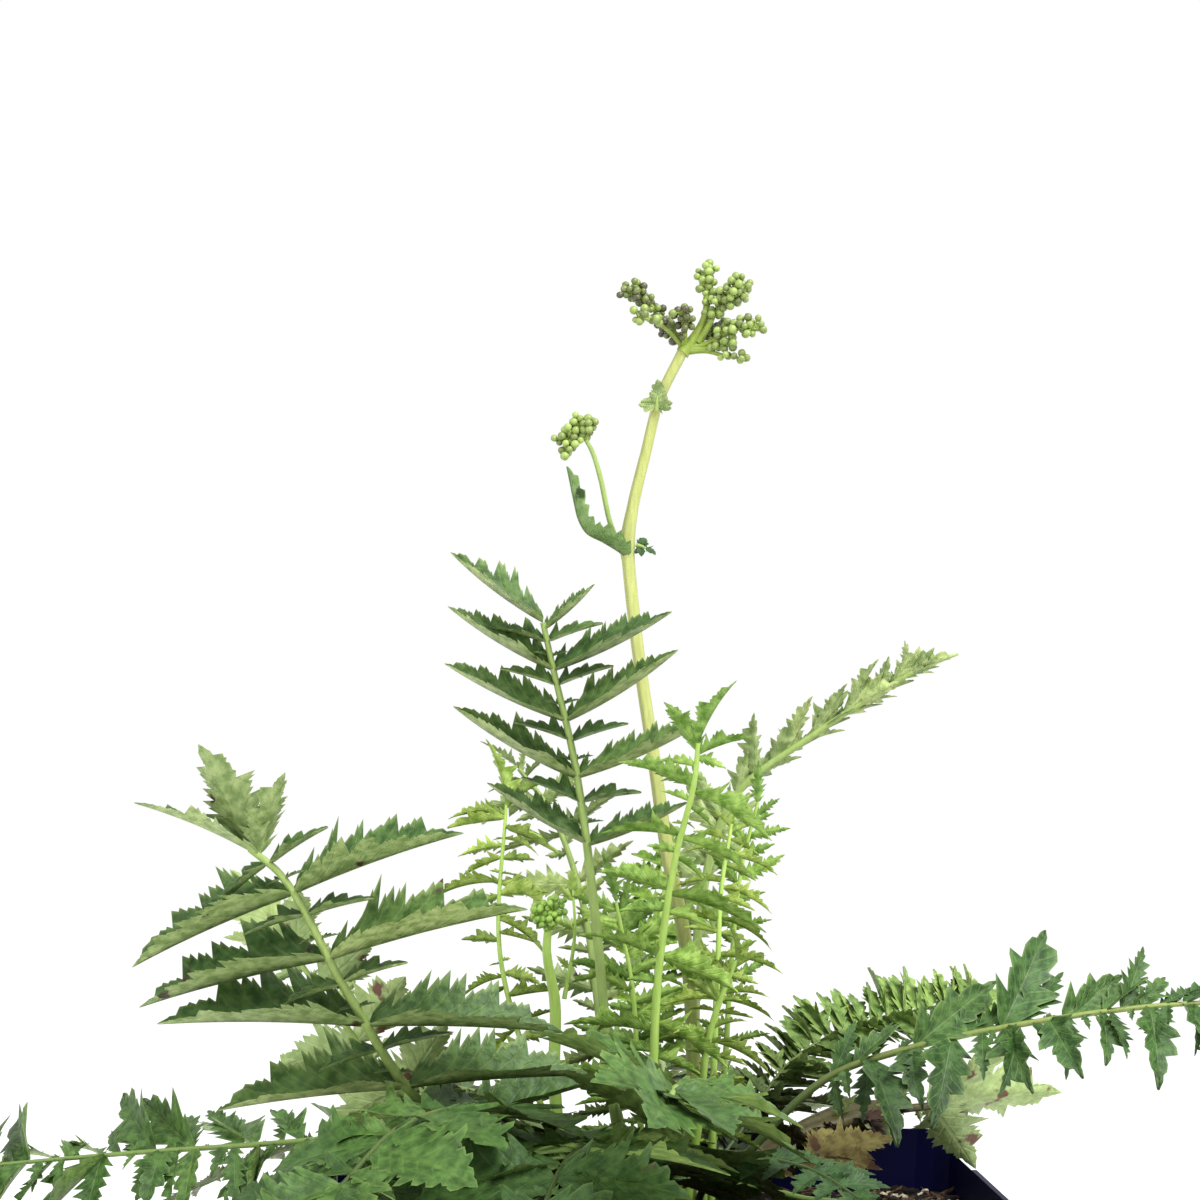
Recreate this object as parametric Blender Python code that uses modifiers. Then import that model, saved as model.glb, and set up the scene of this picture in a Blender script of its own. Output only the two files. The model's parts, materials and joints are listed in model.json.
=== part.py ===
"""A meadowsweet in bud in a square plastic nursery pot, in metres with +Z up.
The origin is the centre of the pot's underside."""

import math
import random

import bmesh
import bpy
from mathutils import Matrix, Vector
from mathutils.bvhtree import BVHTree

MM = 0.001

# Driving dimensions, in millimetres.
GAP = 0.3  # kept between pieces that touch
POT_RIM_WIDTH = 130.0
POT_BASE_WIDTH = 96.0
POT_HEIGHT = 133.0
POT_SIDE_HEIGHT = 126.0  # the two side walls end lower than the front and back panels
POT_WALL = 1.6
POT_CORNER = 9.0
RIM_BAND = (103.0, 107.0)  # heights where the wall steps out into the rim band
RIM_BAND_WIDTHS = (121.0, 124.0)
FLANGE = {"reach": 66.8, "half_length": 56.0, "thickness": 1.5}
DRAIN_HOLE = {"radius": 4.5, "offset": 30.0}
SOIL_TOP = 121.5
CROWN_RADIUS = 15.0
CROWN_TOP = 126.0
STEM_RADIUS = 1.35
BUD_RADIUS = 1.0
PETIOLE_WIDTH = 2.0
RACHIS_THICKNESS = 1.5
BLADE_THICKNESS = 0.55
LEAFLET_FOOT = 1.1  # half the length of rachis that one leaflet joins
FIRST_RISE = 1.2  # a leaf stalk leaves its base straight over this length
STALK_STEPS = 5
FOLD = 32  # degrees that each half of a leaflet rises from its midrib, unless its leaf says otherwise

COLOURS = {
    "pot": ((0.003, 0.004, 0.03), 0.35),
    "soil": ((0.012, 0.009, 0.006), 0.95),
    "crown": ((0.09, 0.06, 0.03), 0.9),
    "stem": ((0.52, 0.62, 0.19), 0.5),
    "young": ((0.36, 0.52, 0.14), 0.55),
    "leaf": ((0.09, 0.18, 0.05), 0.6),
    "pale": ((0.27, 0.37, 0.15), 0.65),
    "bud": ((0.22, 0.3, 0.09), 0.55),
    "withered": ((0.16, 0.11, 0.035), 0.85),
}

# Each leaf: where its stalk leaves the crown, the points that its stalk and rachis pass,
# the side that its upper face looks to, and how its leaflets stand.
LEAVES = {
    "tall_leaf": dict(
        start=(-4, -6),
        via=[(-7, -11, 150), (-9, -15, 178), (-13, -20, 205), (-17, -25, 225), (-21, -26, 229.5)],
        pairs=5, bare=0.45, leaflet=24, terminal=19, facing=(0, 1, 0.2), spread=66, lean=-12, twist=90,
        fold=50,
    ),
    "left_leaf": dict(
        start=(-9, -5.5),
        via=[(-22, -20, 137), (-37, -44, 149), (-48, -60, 169), (-57, -66, 186), (-61.5, -68, 190)],
        pairs=5, bare=0.4, leaflet=30, terminal=19, facing=(-0.1, 0.9, 0.4), spread=94, lean=-6,
        lean_low=-34, twist=85, fold=50,
    ),
    "right_leaf": dict(
        start=(5, 8.5), via=[(8, 12, 150), (10, 15, 181), (16, 15, 200), (31, 14, 212), (50, 10, 224)],
        pairs=7, bare=0.45, leaflet=13, terminal=10, facing=(0, 0.9, 0.5), spread=42, lean=14, twist=20,
    ),
    "bright_leaf": dict(
        start=(1, -9), via=[(1, -16, 140), (1, -22, 159), (3, -28, 177), (8, -34, 203)],
        pairs=5, bare=0.4, leaflet=17, terminal=12, facing=(0, 1, 0.2), spread=94, lean=-12, twist=75,
        fold=45,
    ),
    "slender_left_leaf": dict(
        start=(-10, 3.5), via=[(-18, 3, 140), (-23, 5, 153), (-28, 9, 172), (-27, 11, 199)],
        pairs=8, bare=0.25, leaflet=12, terminal=7, facing=(0.2, 1, 0.2), spread=85, twist=70, fold=45,
    ),
    "slender_right_leaf": dict(
        start=(11, -5), via=[(10, -7, 151), (12, -5, 175), (18, -3, 195)],
        pairs=8, bare=0.3, leaflet=10, terminal=7, facing=(-0.2, 1, 0.2), spread=85, twist=70, fold=45,
    ),
    "shaded_leaf": dict(
        start=(-3, 7), via=[(-8, 11, 150), (-13, 15, 182), (-19, 17, 198), (-25, 17, 206)],
        pairs=6, bare=0.45, leaflet=11, terminal=8, facing=(0, 1, 0.3), spread=65, twist=30,
    ),
    "left_trailing_leaf": dict(
        start=(-12.8, -1.5),
        via=[(-24, -4, 137), (-39, -7, 141), (-62, -10, 139), (-93, -12, 137), (-128, -14, 134)],
        pairs=8, bare=0.38, leaflet=13, terminal=11, facing=(0, -0.6, 0.8), spread=72, twist=15,
    ),
    "right_trailing_leaf": dict(
        start=(12.8, -2.2),
        via=[(20, -4, 139), (32, -6, 150), (45, -9, 155), (62, -11, 159), (90, -12, 163), (121, -12, 164)],
        pairs=9, bare=0.32, leaflet=16, terminal=12, facing=(0, -0.7, 0.7), spread=72, twist=15,
    ),
    "right_back_leaf": dict(
        start=(10.5, 7), via=[(17, 15, 138), (30, 35, 151), (46, 45, 157), (68, 52, 160)],
        pairs=10, bare=0.3, leaflet=13, terminal=10, facing=(0, -0.7, 0.7), spread=70, twist=10,
    ),
    "old_pale_leaf": dict(
        start=(13, 3.5), via=[(28, 18, 137), (43, 28, 140), (56, 34, 141)],
        pairs=2, bare=0.6, leaflet=15, terminal=27, facing=(0, 0.8, 0.6), spread=70, twist=10,
        stalk=3.2,
    ),
    "front_left_leaf": dict(
        start=(-5.5, -11), via=[(-15, -30, 140), (-28, -52, 149), (-38, -70, 148), (-45, -84, 141)],
        pairs=4, bare=0.3, leaflet=21, terminal=20, facing=(0, 0, 1), spread=72, twist=10,
    ),
    "front_right_leaf": dict(
        start=(8.5, -9.5), via=[(15, -23, 137), (21, -36, 142), (27, -48, 142.5), (33, -58, 138)],
        pairs=4, bare=0.32, leaflet=14.5, terminal=14, facing=(0, -0.3, 1), spread=72, twist=10,
    ),
    "front_leaf": dict(
        start=(2.5, -12.5), via=[(4, -30, 138), (5, -50, 149), (4, -68, 154), (3, -82, 154)],
        pairs=3, bare=0.3, leaflet=31, terminal=20, facing=(0.42, 0, 0.9), spread=78, twist=10,
    ),
    "left_pale_leaf": dict(
        start=(-12.5, -5), via=[(-28, -14, 137), (-46, -20, 152), (-62, -24, 173)],
        pairs=4, bare=0.45, leaflet=15, terminal=12, facing=(0.2, 0.8, 0.5), spread=75, twist=20,
    ),
    "right_front_leaf": dict(
        start=(12.2, -7.5), via=[(28, -24, 131), (48, -40, 131), (66, -50, 131.5), (80, -58, 126)],
        pairs=5, bare=0.35, leaflet=12, terminal=11, facing=(0, 0, 1), spread=70, twist=10,
    ),
    "withered_leaf": dict(
        start=(13.6, 0.5), via=[(20, 2, 132), (31, 5, 135)],
        pairs=1, bare=0.7, leaflet=5, terminal=11, facing=(0, -0.3, 1), spread=60, twist=0,
    ),
    "back_leaf": dict(
        start=(1, 13), via=[(2, 30, 137), (3, 55, 145), (2, 80, 145), (0, 104, 137)],
        pairs=6, bare=0.3, leaflet=17, terminal=14, facing=(0, 0, 1), spread=72, twist=10,
    ),
    "back_left_leaf": dict(
        start=(-6.5, 11), via=[(-20, 28, 136), (-36, 48, 142), (-50, 66, 140), (-62, 84, 132)],
        pairs=6, bare=0.3, leaflet=15, terminal=13, facing=(0, 0, 1), spread=72, twist=10,
    ),
    "back_right_leaf": dict(
        start=(6, 11.8), via=[(14, 28, 135), (26, 52, 139), (38, 76, 137), (46, 94, 129)],
        pairs=6, bare=0.32, leaflet=14, terminal=12, facing=(0, 0, 1), spread=72, twist=10,
    ),
    "left_back_leaf": dict(
        start=(-11.5, 7), via=[(-28, 15, 133), (-50, 26, 136), (-72, 36, 132), (-90, 43, 124)],
        pairs=6, bare=0.32, leaflet=13, terminal=12, facing=(0, 0, 1), spread=72, twist=10,
    ),
    "inner_left_leaf": dict(
        start=(-0.5, -2.5), via=[(-2, -4, 145), (-3, -5, 165), (-6, -6, 181)],
        pairs=5, bare=0.35, leaflet=11, terminal=9, facing=(0, 1, 0.2), spread=65, twist=40,
    ),
    "inner_right_leaf": dict(
        start=(6.6, -6.4), via=[(8.5, -10, 142), (10.5, -14, 158), (15, -17, 171)],
        pairs=5, bare=0.35, leaflet=12, terminal=9, facing=(-0.2, 1, 0.2), spread=65, twist=40,
    ),
    "inner_back_leaf": dict(
        start=(0.5, 4), via=[(1, 8, 150), (2, 18, 175), (4, 28, 189)],
        pairs=6, bare=0.4, leaflet=12, terminal=9, facing=(0, -0.6, 0.8), spread=65, twist=20,
    ),
    "inner_right_back_leaf": dict(
        start=(9.8, -1), via=[(13, -1, 146), (15, 1, 170), (17, 2, 187), (20, 0, 199)],
        pairs=6, bare=0.4, leaflet=11, terminal=9, facing=(0, 1, 0.3), spread=68, twist=35,
    ),
    "front_low_leaf": dict(
        start=(-7.8, -9), via=[(-18, -27, 133), (-33, -47, 138), (-47, -61, 138), (-59, -71, 132)],
        pairs=4, bare=0.32, leaflet=20, terminal=19, facing=(0, -0.3, 1), spread=72, twist=10,
    ),
    "front_middle_leaf": dict(
        start=(-1.5, -13), via=[(-4, -34, 138), (-9, -56, 144), (-13, -73, 143), (-16, -87, 137)],
        pairs=4, bare=0.32, leaflet=20, terminal=19, facing=(0, 0, 1), spread=72, twist=10,
    ),
}

FLOWER_STEM = {
    "route": [(7, 1.5, 126.3), (8, 2.5, 150), (7, 3, 171), (3.4, 4, 190), (1, 5, 207), (-2, 7, 228),
              (-3.8, 8, 245), (-4, 8, 247.8), (-3, 8, 255), (-0.4, 8, 266), (2.2, 7, 276), (6.6, 6, 285)],
    "swell_at": 7,  # the node, where the side stalk and a stem leaf grow
    "taper": 0.66,
}
SIDE_STALK = [(-6.2, 6.6, 249), (-7.4, 4.5, 252.5), (-9, 2.4, 260), (-10.6, 1, 265), (-11.7, 0.2, 266.9)]
YOUNG_STEM = [(-8, -0.5, 126.3), (-8.3, -0.6, 128.5), (-15, -4, 136), (-17, -5, 148), (-17, -5, 163),
              (-18.4, -7, 172), (-18.2, -7.6, 176)]
YOUNG_STEM_LEAF = [(-15.4, -4.2, 163.6), (-13.6, -1.5, 175), (-14, 0, 183)]
STEM_LEAF = [(-5.9, 8.4, 247.7), (-8.6, 6, 248.8), (-12, 3.4, 250.8), (-13.9, 2, 255), (-14.6, 1.4, 258)]
STEM_STIPULE = [(-2.3, 7.8, 248), (-1.3, 7.5, 247.7), (-0.4, 7.2, 247.3)]
STEM_BRACT = [(1.6, 5.5, 273.6), (1.7, 5, 275), (1.8, 4.7, 276.2)]

# Ends of the flower heads' rays, each with its few buds.
FLOWER_HEAD_HUB = (7.1, 5.9, 286.2)
FLOWER_HEAD_ENDS = [
    (-4.2, 1, 295.4), (-1, 2, 296.4), (1, 3, 293.5), (-2.4, -1, 290), (2, 8, 296), (5.4, 2.5, 292.6),
    (8.6, 4, 293), (9.6, 6, 302), (11.4, 5, 299), (12.6, 7.5, 301), (14.4, 4, 297.6), (18, 3, 297.4),
    (19.6, 6, 294), (15.5, 9, 292.5), (21, 1, 288.4), (18, 1.5, 291), (16.6, 3, 286), (18, 3, 282.6),
    (12, 12, 290), (5, 12, 291),
]
SIDE_HEAD_ENDS = [
    (-16.6, 0, 266), (-13.6, 0, 270.6), (-10.8, -1, 269.8), (-15.6, 1, 268.8), (-15.2, -2, 264.2),
    (-13.4, -2.6, 267.4), (-12, 2.4, 269), (-10.2, 1.8, 270),
]
YOUNG_HEAD_ENDS = [
    (-22, -8, 178), (-19.5, -6, 182), (-15.5, -8, 181), (-14.5, -6, 177.5), (-18, -11, 179),
    (-18, -4, 179), (-21.5, -10, 175), (-17.4, -8, 180.5),
]

for old in list(bpy.data.objects):
    bpy.data.objects.remove(old)

plant = bpy.data.collections.new("potted_meadowsweet")
cutters = bpy.data.collections.new("cutters")
bpy.context.scene.collection.children.link(plant)
bpy.context.scene.collection.children.link(cutters)


def material(name):
    found = bpy.data.materials.get(name)
    if found:
        return found
    made = bpy.data.materials.new(name)
    made.use_nodes = True
    shader = made.node_tree.nodes["Principled BSDF"]
    colour, roughness = COLOURS[name]
    shader.inputs["Base Color"].default_value = (*colour, 1)
    shader.inputs["Roughness"].default_value = roughness
    shader.inputs["Metallic"].default_value = 0
    return made


def add_object(name, data, finish):
    made = bpy.data.objects.new(name, data)
    data.materials.append(material(finish))
    plant.objects.link(made)
    return made


def mesh_from(bm, name):
    mesh = bpy.data.meshes.new(name)
    bm.to_mesh(mesh)
    bm.free()
    return mesh


def add_cutter(name, bm):
    made = bpy.data.objects.new(name, mesh_from(bm, name))
    made.hide_render = True
    made.display_type = "WIRE"
    cutters.objects.link(made)
    return made


def boolean(target, other, operation):
    cut = target.modifiers.new(f"{operation.lower()} {other.name}", "BOOLEAN")
    cut.operation = operation
    cut.solver = "EXACT"
    cut.object = other


def settled(made):
    """The object's mesh with its modifiers applied, so that later pieces can be fitted to it."""
    graph = bpy.context.evaluated_depsgraph_get()
    mesh = bpy.data.meshes.new_from_object(made.evaluated_get(graph))
    made.modifiers.clear()
    old = made.data
    made.data = mesh
    if isinstance(old, bpy.types.Mesh):
        bpy.data.meshes.remove(old)
    return made


# The pot and the compost

def pot_width(height):
    levels = (0.0, *RIM_BAND, POT_HEIGHT)
    widths = (POT_BASE_WIDTH, *RIM_BAND_WIDTHS, POT_RIM_WIDTH)
    for i in range(3):
        if height <= levels[i + 1]:
            share = (height - levels[i]) / (levels[i + 1] - levels[i])
            return widths[i] + share * (widths[i + 1] - widths[i])
    return POT_RIM_WIDTH


def tapered_block(bottom, top, inset):
    """A square block with cut corners that follows the pot's outline, inset from it."""
    bm = bmesh.new()
    bmesh.ops.create_cube(bm, size=1)
    bmesh.ops.translate(bm, verts=bm.verts, vec=(0, 0, 0.5))
    bmesh.ops.scale(bm, verts=bm.verts, vec=(POT_RIM_WIDTH, POT_RIM_WIDTH, top - bottom))
    bmesh.ops.translate(bm, verts=bm.verts, vec=(0, 0, bottom))
    upright = [e for e in bm.edges if abs(e.verts[0].co.z - e.verts[1].co.z) > 1]
    bmesh.ops.bevel(
        bm, geom=upright, offset=POT_CORNER, offset_type="OFFSET", segments=3, profile=0.5,
        affect="EDGES",
    )
    for level in RIM_BAND:
        geometry = bm.verts[:] + bm.edges[:] + bm.faces[:]
        bmesh.ops.bisect_plane(bm, geom=geometry, plane_co=(0, 0, level), plane_no=(0, 0, 1))
    for vert in bm.verts:
        share = (pot_width(vert.co.z) - 2 * inset) / POT_RIM_WIDTH
        vert.co.x *= share
        vert.co.y *= share
    bmesh.ops.scale(bm, verts=bm.verts, vec=(MM, MM, MM))
    return bm


def rim_cutter():
    """What is taken off above the side walls: it leaves raised panels with sloped ends."""
    half = POT_RIM_WIDTH / 2
    outline = [
        (-half - 20, POT_SIDE_HEIGHT), (-half + 1.4, POT_SIDE_HEIGHT), (-half + 2.6, POT_HEIGHT - 3),
        (-half + 6, POT_HEIGHT), (-half + 6, POT_HEIGHT + 5), (-half - 20, POT_HEIGHT + 5),
    ]
    bm = bmesh.new()
    for side in (1, -1):
        face = bm.faces.new([bm.verts.new((side * x * MM, -half * 1.2 * MM, z * MM)) for x, z in outline])
        made = bmesh.ops.extrude_face_region(bm, geom=[face])
        moved = [item for item in made["geom"] if isinstance(item, bmesh.types.BMVert)]
        bmesh.ops.translate(bm, verts=moved, vec=(0, half * 2.4 * MM, 0))
    bmesh.ops.recalc_face_normals(bm, faces=bm.faces)
    return add_cutter("rim_cutter", bm)


def box(low, high):
    bm = bmesh.new()
    bmesh.ops.create_cube(bm, size=1)
    size = [(high[i] - low[i]) * MM for i in range(3)]
    centre = [(high[i] + low[i]) / 2 * MM for i in range(3)]
    bmesh.ops.scale(bm, verts=bm.verts, vec=size)
    bmesh.ops.translate(bm, verts=bm.verts, vec=centre)
    return bm


def make_pot():
    bm = tapered_block(0, POT_HEIGHT, 0)
    top = [face for face in bm.faces if face.normal.z > 0.9]
    bmesh.ops.delete(bm, geom=top, context="FACES_ONLY")
    pot = add_object("pot", mesh_from(bm, "pot"), "pot")
    shell = pot.modifiers.new("wall", "SOLIDIFY")
    shell.thickness = POT_WALL * MM
    shell.offset = -1
    shell.use_even_offset = True
    boolean(pot, rim_cutter(), "DIFFERENCE")
    wall_x = pot_width(POT_SIDE_HEIGHT) / 2 - POT_WALL / 2
    for side in (1, -1):
        ends = sorted((side * wall_x, side * FLANGE["reach"]))
        flange = box(
            (ends[0], -FLANGE["half_length"], POT_SIDE_HEIGHT - FLANGE["thickness"] - 0.2),
            (ends[1], FLANGE["half_length"], POT_SIDE_HEIGHT - 0.2),
        )
        boolean(pot, add_cutter(f"flange_{'right' if side > 0 else 'left'}", flange), "UNION")
    for i in range(4):
        angle = math.radians(45 + 90 * i)
        reach = DRAIN_HOLE["offset"] * math.sqrt(2)
        place = Matrix.Translation((reach * math.cos(angle) * MM, reach * math.sin(angle) * MM, 0))
        hole = bmesh.new()
        bmesh.ops.create_cone(
            hole, cap_ends=True, segments=12, radius1=DRAIN_HOLE["radius"] * MM,
            radius2=DRAIN_HOLE["radius"] * MM, depth=8 * MM, matrix=place,
        )
        boolean(pot, add_cutter(f"drain_hole_{i}", hole), "DIFFERENCE")
    return pot


def make_compost():
    inset = POT_WALL + 0.5
    bm = tapered_block(POT_WALL + GAP, SOIL_TOP, inset)
    return add_object("compost", mesh_from(bm, "compost"), "soil")


def make_crown():
    """The low crown that every leaf stalk and stem grows from."""
    bm = bmesh.new()
    height = CROWN_TOP - SOIL_TOP - GAP
    bmesh.ops.create_cone(
        bm, cap_ends=True, segments=20, radius1=(CROWN_RADIUS + 2) * MM, radius2=CROWN_RADIUS * MM,
        depth=height * MM, matrix=Matrix.Translation((0, 0, (SOIL_TOP + GAP + height / 2) * MM)),
    )
    return add_object("crown", mesh_from(bm, "crown"), "crown")


# Stems and flower heads

def add_tube(name, points, radii, finish, sides=1):
    curve = bpy.data.curves.new(name, "CURVE")
    curve.dimensions = "3D"
    curve.resolution_u = 3
    curve.bevel_depth = MM
    curve.bevel_resolution = sides
    curve.use_fill_caps = True
    spline = curve.splines.new("BEZIER")
    spline.bezier_points.add(len(points) - 1)
    for knot, point, radius in zip(spline.bezier_points, points, radii):
        knot.co = Vector(point) * MM
        knot.radius = radius
        knot.handle_left_type = "AUTO"
        knot.handle_right_type = "AUTO"
    return add_object(name, curve, finish)


def make_flower_stem():
    route = FLOWER_STEM["route"]
    radii = []
    for i in range(len(route)):
        radius = STEM_RADIUS * (1 - (1 - FLOWER_STEM["taper"]) * i / (len(route) - 1))
        radii.append(radius * (1.35 if i == FLOWER_STEM["swell_at"] else 1))
    return add_tube("flower_stem", route, radii, "stem", sides=2)


def add_rod(bm, start, end, radius):
    start = Vector(start)
    end = Vector(end)
    along = end - start
    turn = along.to_track_quat("Z", "Y").to_matrix().to_4x4()
    bmesh.ops.create_cone(
        bm, cap_ends=True, segments=5, radius1=radius, radius2=radius * 0.8, depth=along.length,
        matrix=Matrix.Translation((start + end) / 2) @ turn,
    )


def make_flower_head(name, hub, ends, bud_radius, finish, seed, buds_around=2):
    """Rays from a hub to each end, and round buds about the ends, joined into one body."""
    draw = random.Random(seed)
    hub = Vector(hub)
    rods = bmesh.new()
    for end in ends:
        end = Vector(end)
        add_rod(rods, hub, end, bud_radius * 0.5)
        outward = (end - hub).normalized()
        places = [end - 0.5 * bud_radius * outward]
        for k in range(buds_around):
            across = outward.orthogonal().normalized()
            turn = 2 * math.pi * (k + draw.random()) / buds_around
            across.rotate(Matrix.Rotation(turn, 3, outward))
            places.append(end + 1.1 * bud_radius * across - 1.1 * bud_radius * outward)
        for place in places:
            bmesh.ops.create_icosphere(
                rods, subdivisions=1, radius=bud_radius, matrix=Matrix.Translation(place)
            )
    bmesh.ops.scale(rods, verts=rods.verts, vec=(MM, MM, MM))
    joined = add_cutter(f"{name}_rays", rods)
    core = bmesh.new()
    bmesh.ops.create_icosphere(
        core, subdivisions=1, radius=bud_radius * 1.1 * MM, matrix=Matrix.Translation(hub * MM)
    )
    head = add_object(name, mesh_from(core, name), finish)
    boolean(head, joined, "UNION")
    head.modifiers[0].use_self = True
    return head


# Leaves

def direction_at(points, i):
    """The direction of a smooth line through the points as it passes point i."""
    found = Vector()
    if i > 0:
        found += (points[i] - points[i - 1]).normalized()
    if i < len(points) - 1:
        found += (points[i + 1] - points[i]).normalized()
    return found.normalized()


def smooth_point(points, t):
    """A point of the smooth line through the points, with t from 0 to 1."""
    spans = len(points) - 1
    i = min(int(t * spans), spans - 1)
    u = t * spans - i
    chord = (points[i + 1] - points[i]).length
    leave = direction_at(points, i) * chord
    arrive = direction_at(points, i + 1) * chord
    return (
        (2 * u ** 3 - 3 * u ** 2 + 1) * points[i] + (u ** 3 - 2 * u ** 2 + u) * leave
        + (3 * u ** 2 - 2 * u ** 3) * points[i + 1] + (u ** 3 - u ** 2) * arrive
    )


class Route:
    """A smooth line through a few points, read by its length."""

    def __init__(self, points, steps=120):
        knots = [Vector(p) for p in points]
        self.line = [smooth_point(knots, i / steps) for i in range(steps + 1)]
        self.reach = [0.0]
        for a, b in zip(self.line, self.line[1:]):
            self.reach.append(self.reach[-1] + (b - a).length)
        self.length = self.reach[-1]

    def at(self, distance):
        distance = min(max(distance, 0.0), self.length)
        for i in range(1, len(self.reach)):
            if self.reach[i] >= distance:
                share = (distance - self.reach[i - 1]) / (self.reach[i] - self.reach[i - 1])
                return self.line[i - 1].lerp(self.line[i], share)
        return self.line[-1]

    def tangent(self, distance):
        return (self.at(distance + 0.5) - self.at(distance - 0.5)).normalized()


def leaflet_faces(bm, foot, axis, normal, length, width, fold):
    """A leaflet folded along its midrib, from the stretch of rachis edge that it joins."""
    middle = (foot[0].co + foot[1].co) / 2
    across = axis.cross(normal).normalized()
    if across.dot(foot[1].co - foot[0].co) < 0:
        across = -across
    rib = bm.verts.new(middle + 0.5 * length * axis)
    near = bm.verts.new(rib.co + width * (-across * math.cos(fold) + normal * math.sin(fold)))
    far = bm.verts.new(rib.co + width * (across * math.cos(fold) + normal * math.sin(fold)))
    tip = bm.verts.new(middle + length * axis + 0.06 * length * normal)
    faces = []
    for corners in ((foot[0], near, rib), (foot[0], rib, foot[1]), (foot[1], rib, far),
                    (near, tip, rib), (rib, tip, far)):
        faces.append(bm.faces.new(corners))
    return faces


def leaf_surface(route, shape, sizes):
    """The leaf as an open sheet in millimetres, and which leaflet each face belongs to."""
    facing = Vector(shape["facing"]).normalized()
    pairs = shape["pairs"]
    fold = math.radians(shape.get("fold", FOLD))
    scale = min(1.0, route.length / 8)
    half_foot = LEAFLET_FOOT * scale
    rise = FIRST_RISE * scale
    bare = shape["bare"] * route.length
    end = route.length - 1.6 * scale
    feet = [bare + (end - bare) * (1 - (1 - i / pairs) ** 1.25) for i in range(pairs)] if pairs else []
    stations = []
    stalk_end = (feet[0] if feet else end) - half_foot
    stations.append((0, None))
    for i in range(STALK_STEPS):
        stations.append((rise + (stalk_end - rise) * i / STALK_STEPS, None))
    for i, foot in enumerate(feet):
        stations.append((foot - half_foot, i))
        stations.append((foot + half_foot, None))
    stations.append((end - half_foot, pairs))
    stations.append((route.length, None))
    bm = bmesh.new()
    thick = bm.verts.layers.deform.verify()
    edges = []
    for distance, _ in stations:
        tangent = route.tangent(distance)
        normal = (facing - facing.dot(tangent) * tangent).normalized()
        side = tangent.cross(normal)
        half = 0.5 * shape.get("stalk", PETIOLE_WIDTH) * (1 - 0.55 * distance / route.length)
        here = route.at(distance)
        edges.append([bm.verts.new(here + half * side * s) for s in (1, -1)])
    for pair in edges:
        for vert in pair:
            vert[thick][0] = 1.0
    owners = {}
    for i in range(len(stations) - 1):
        a, b = edges[i], edges[i + 1]
        bm.faces.new((a[0], b[0], b[1], a[1]))
        if stations[i][1] is None:
            continue
        number = stations[i][1]
        last = number == pairs
        distance = (stations[i][0] + stations[i + 1][0]) / 2
        tangent = route.tangent(distance)
        normal = (facing - facing.dot(tangent) * tangent).normalized()
        side = tangent.cross(normal)
        twist = math.radians(shape["twist"])
        grow = 0.72 + 0.28 * math.sin(math.pi * (number + 0.6) / (pairs + 0.6))
        length = shape["terminal"] * 0.8 if last else shape["leaflet"] * grow
        lean = shape.get("lean", 0) + shape.get("lean_low", 0) * (1 - number / max(pairs - 1, 1))
        for row, s in enumerate((1, -1)):
            key = (number, row)
            if sizes.get(key, 1) <= 0:
                continue
            spread = math.radians(42 if last else shape["spread"] + s * lean)
            axis = (math.cos(spread) * tangent + math.sin(spread) * s * side).normalized()
            flat = (normal - normal.dot(axis) * axis).normalized()
            up = (tangent - tangent.dot(axis) * axis).normalized()
            blade = math.cos(twist) * flat + math.sin(twist) * up
            reach = length * sizes.get(key, 1)
            for face in leaflet_faces(bm, (a[row], b[row]), axis, blade, reach, 0.19 * reach, fold):
                owners[face] = key
    key = (pairs, 2)
    if sizes.get(key, 1) > 0:
        tangent = route.tangent(route.length)
        normal = (facing - facing.dot(tangent) * tangent).normalized()
        reach = shape["terminal"] * sizes.get(key, 1)
        for face in leaflet_faces(bm, edges[-1], tangent, normal, reach, 0.22 * reach, fold):
            owners[face] = key
    bm.faces.ensure_lookup_table()
    bm.faces.index_update()
    named = [owners.get(face) for face in bm.faces]
    bmesh.ops.recalc_face_normals(bm, faces=bm.faces)
    return bm, named


def solid_leaf(name, bm, finish, blade, rachis):
    """The sheet given its thickness: thick along the rachis, thin over the leaflets."""
    bmesh.ops.scale(bm, verts=bm.verts, vec=(MM, MM, MM))
    leaf = add_object(name, mesh_from(bm, name), finish)
    leaf.vertex_groups.new(name="rachis")
    shell = leaf.modifiers.new("thickness", "SOLIDIFY")
    shell.thickness = rachis * MM
    shell.offset = 0
    shell.vertex_group = "rachis"
    shell.thickness_vertex_group = blade / rachis
    shell.use_quality_normals = True
    return settled(leaf)


def tree_of(made):
    graph = bpy.context.evaluated_depsgraph_get()
    graph.update()
    return BVHTree.FromObject(made, graph)


def add_leaf(name, points, shape, finish, built):
    """Builds a leaf, with each leaflet shortened until it clears the pieces built before it."""
    route = Route(points)
    rachis = RACHIS_THICKNESS * shape.get("stalk", PETIOLE_WIDTH) / PETIOLE_WIDTH
    sizes = {}
    for _ in range(14):
        bm, owners = leaf_surface(route, shape, sizes)
        faces = len(owners)
        trial = solid_leaf("trial", bm, finish, BLADE_THICKNESS + 2 * GAP, rachis)
        tree = tree_of(trial)
        hits = set()
        for other, other_tree in built.items():
            for face, _ in tree.overlap(other_tree):
                # Solidify lists the upper faces, then the lower ones, then the rims.
                owner = owners[face % faces] if face < 2 * faces else nearest_owner(trial, face, owners)
                hits.add((owner, other))
        bpy.data.objects.remove(trial)
        short = {owner for owner, _ in hits if owner}
        for owner in short:
            sizes[owner] = sizes.get(owner, 1) - 0.12
            if sizes[owner] < 0.3:
                sizes[owner] = 0
        if not short:
            for _, other in hits:
                print(f"the stalk of {name} meets {other}")
            break
    bm, _ = leaf_surface(route, shape, sizes)
    leaf = solid_leaf(name, bm, finish, BLADE_THICKNESS, rachis)
    built[name] = tree_of(leaf)
    return leaf


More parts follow.
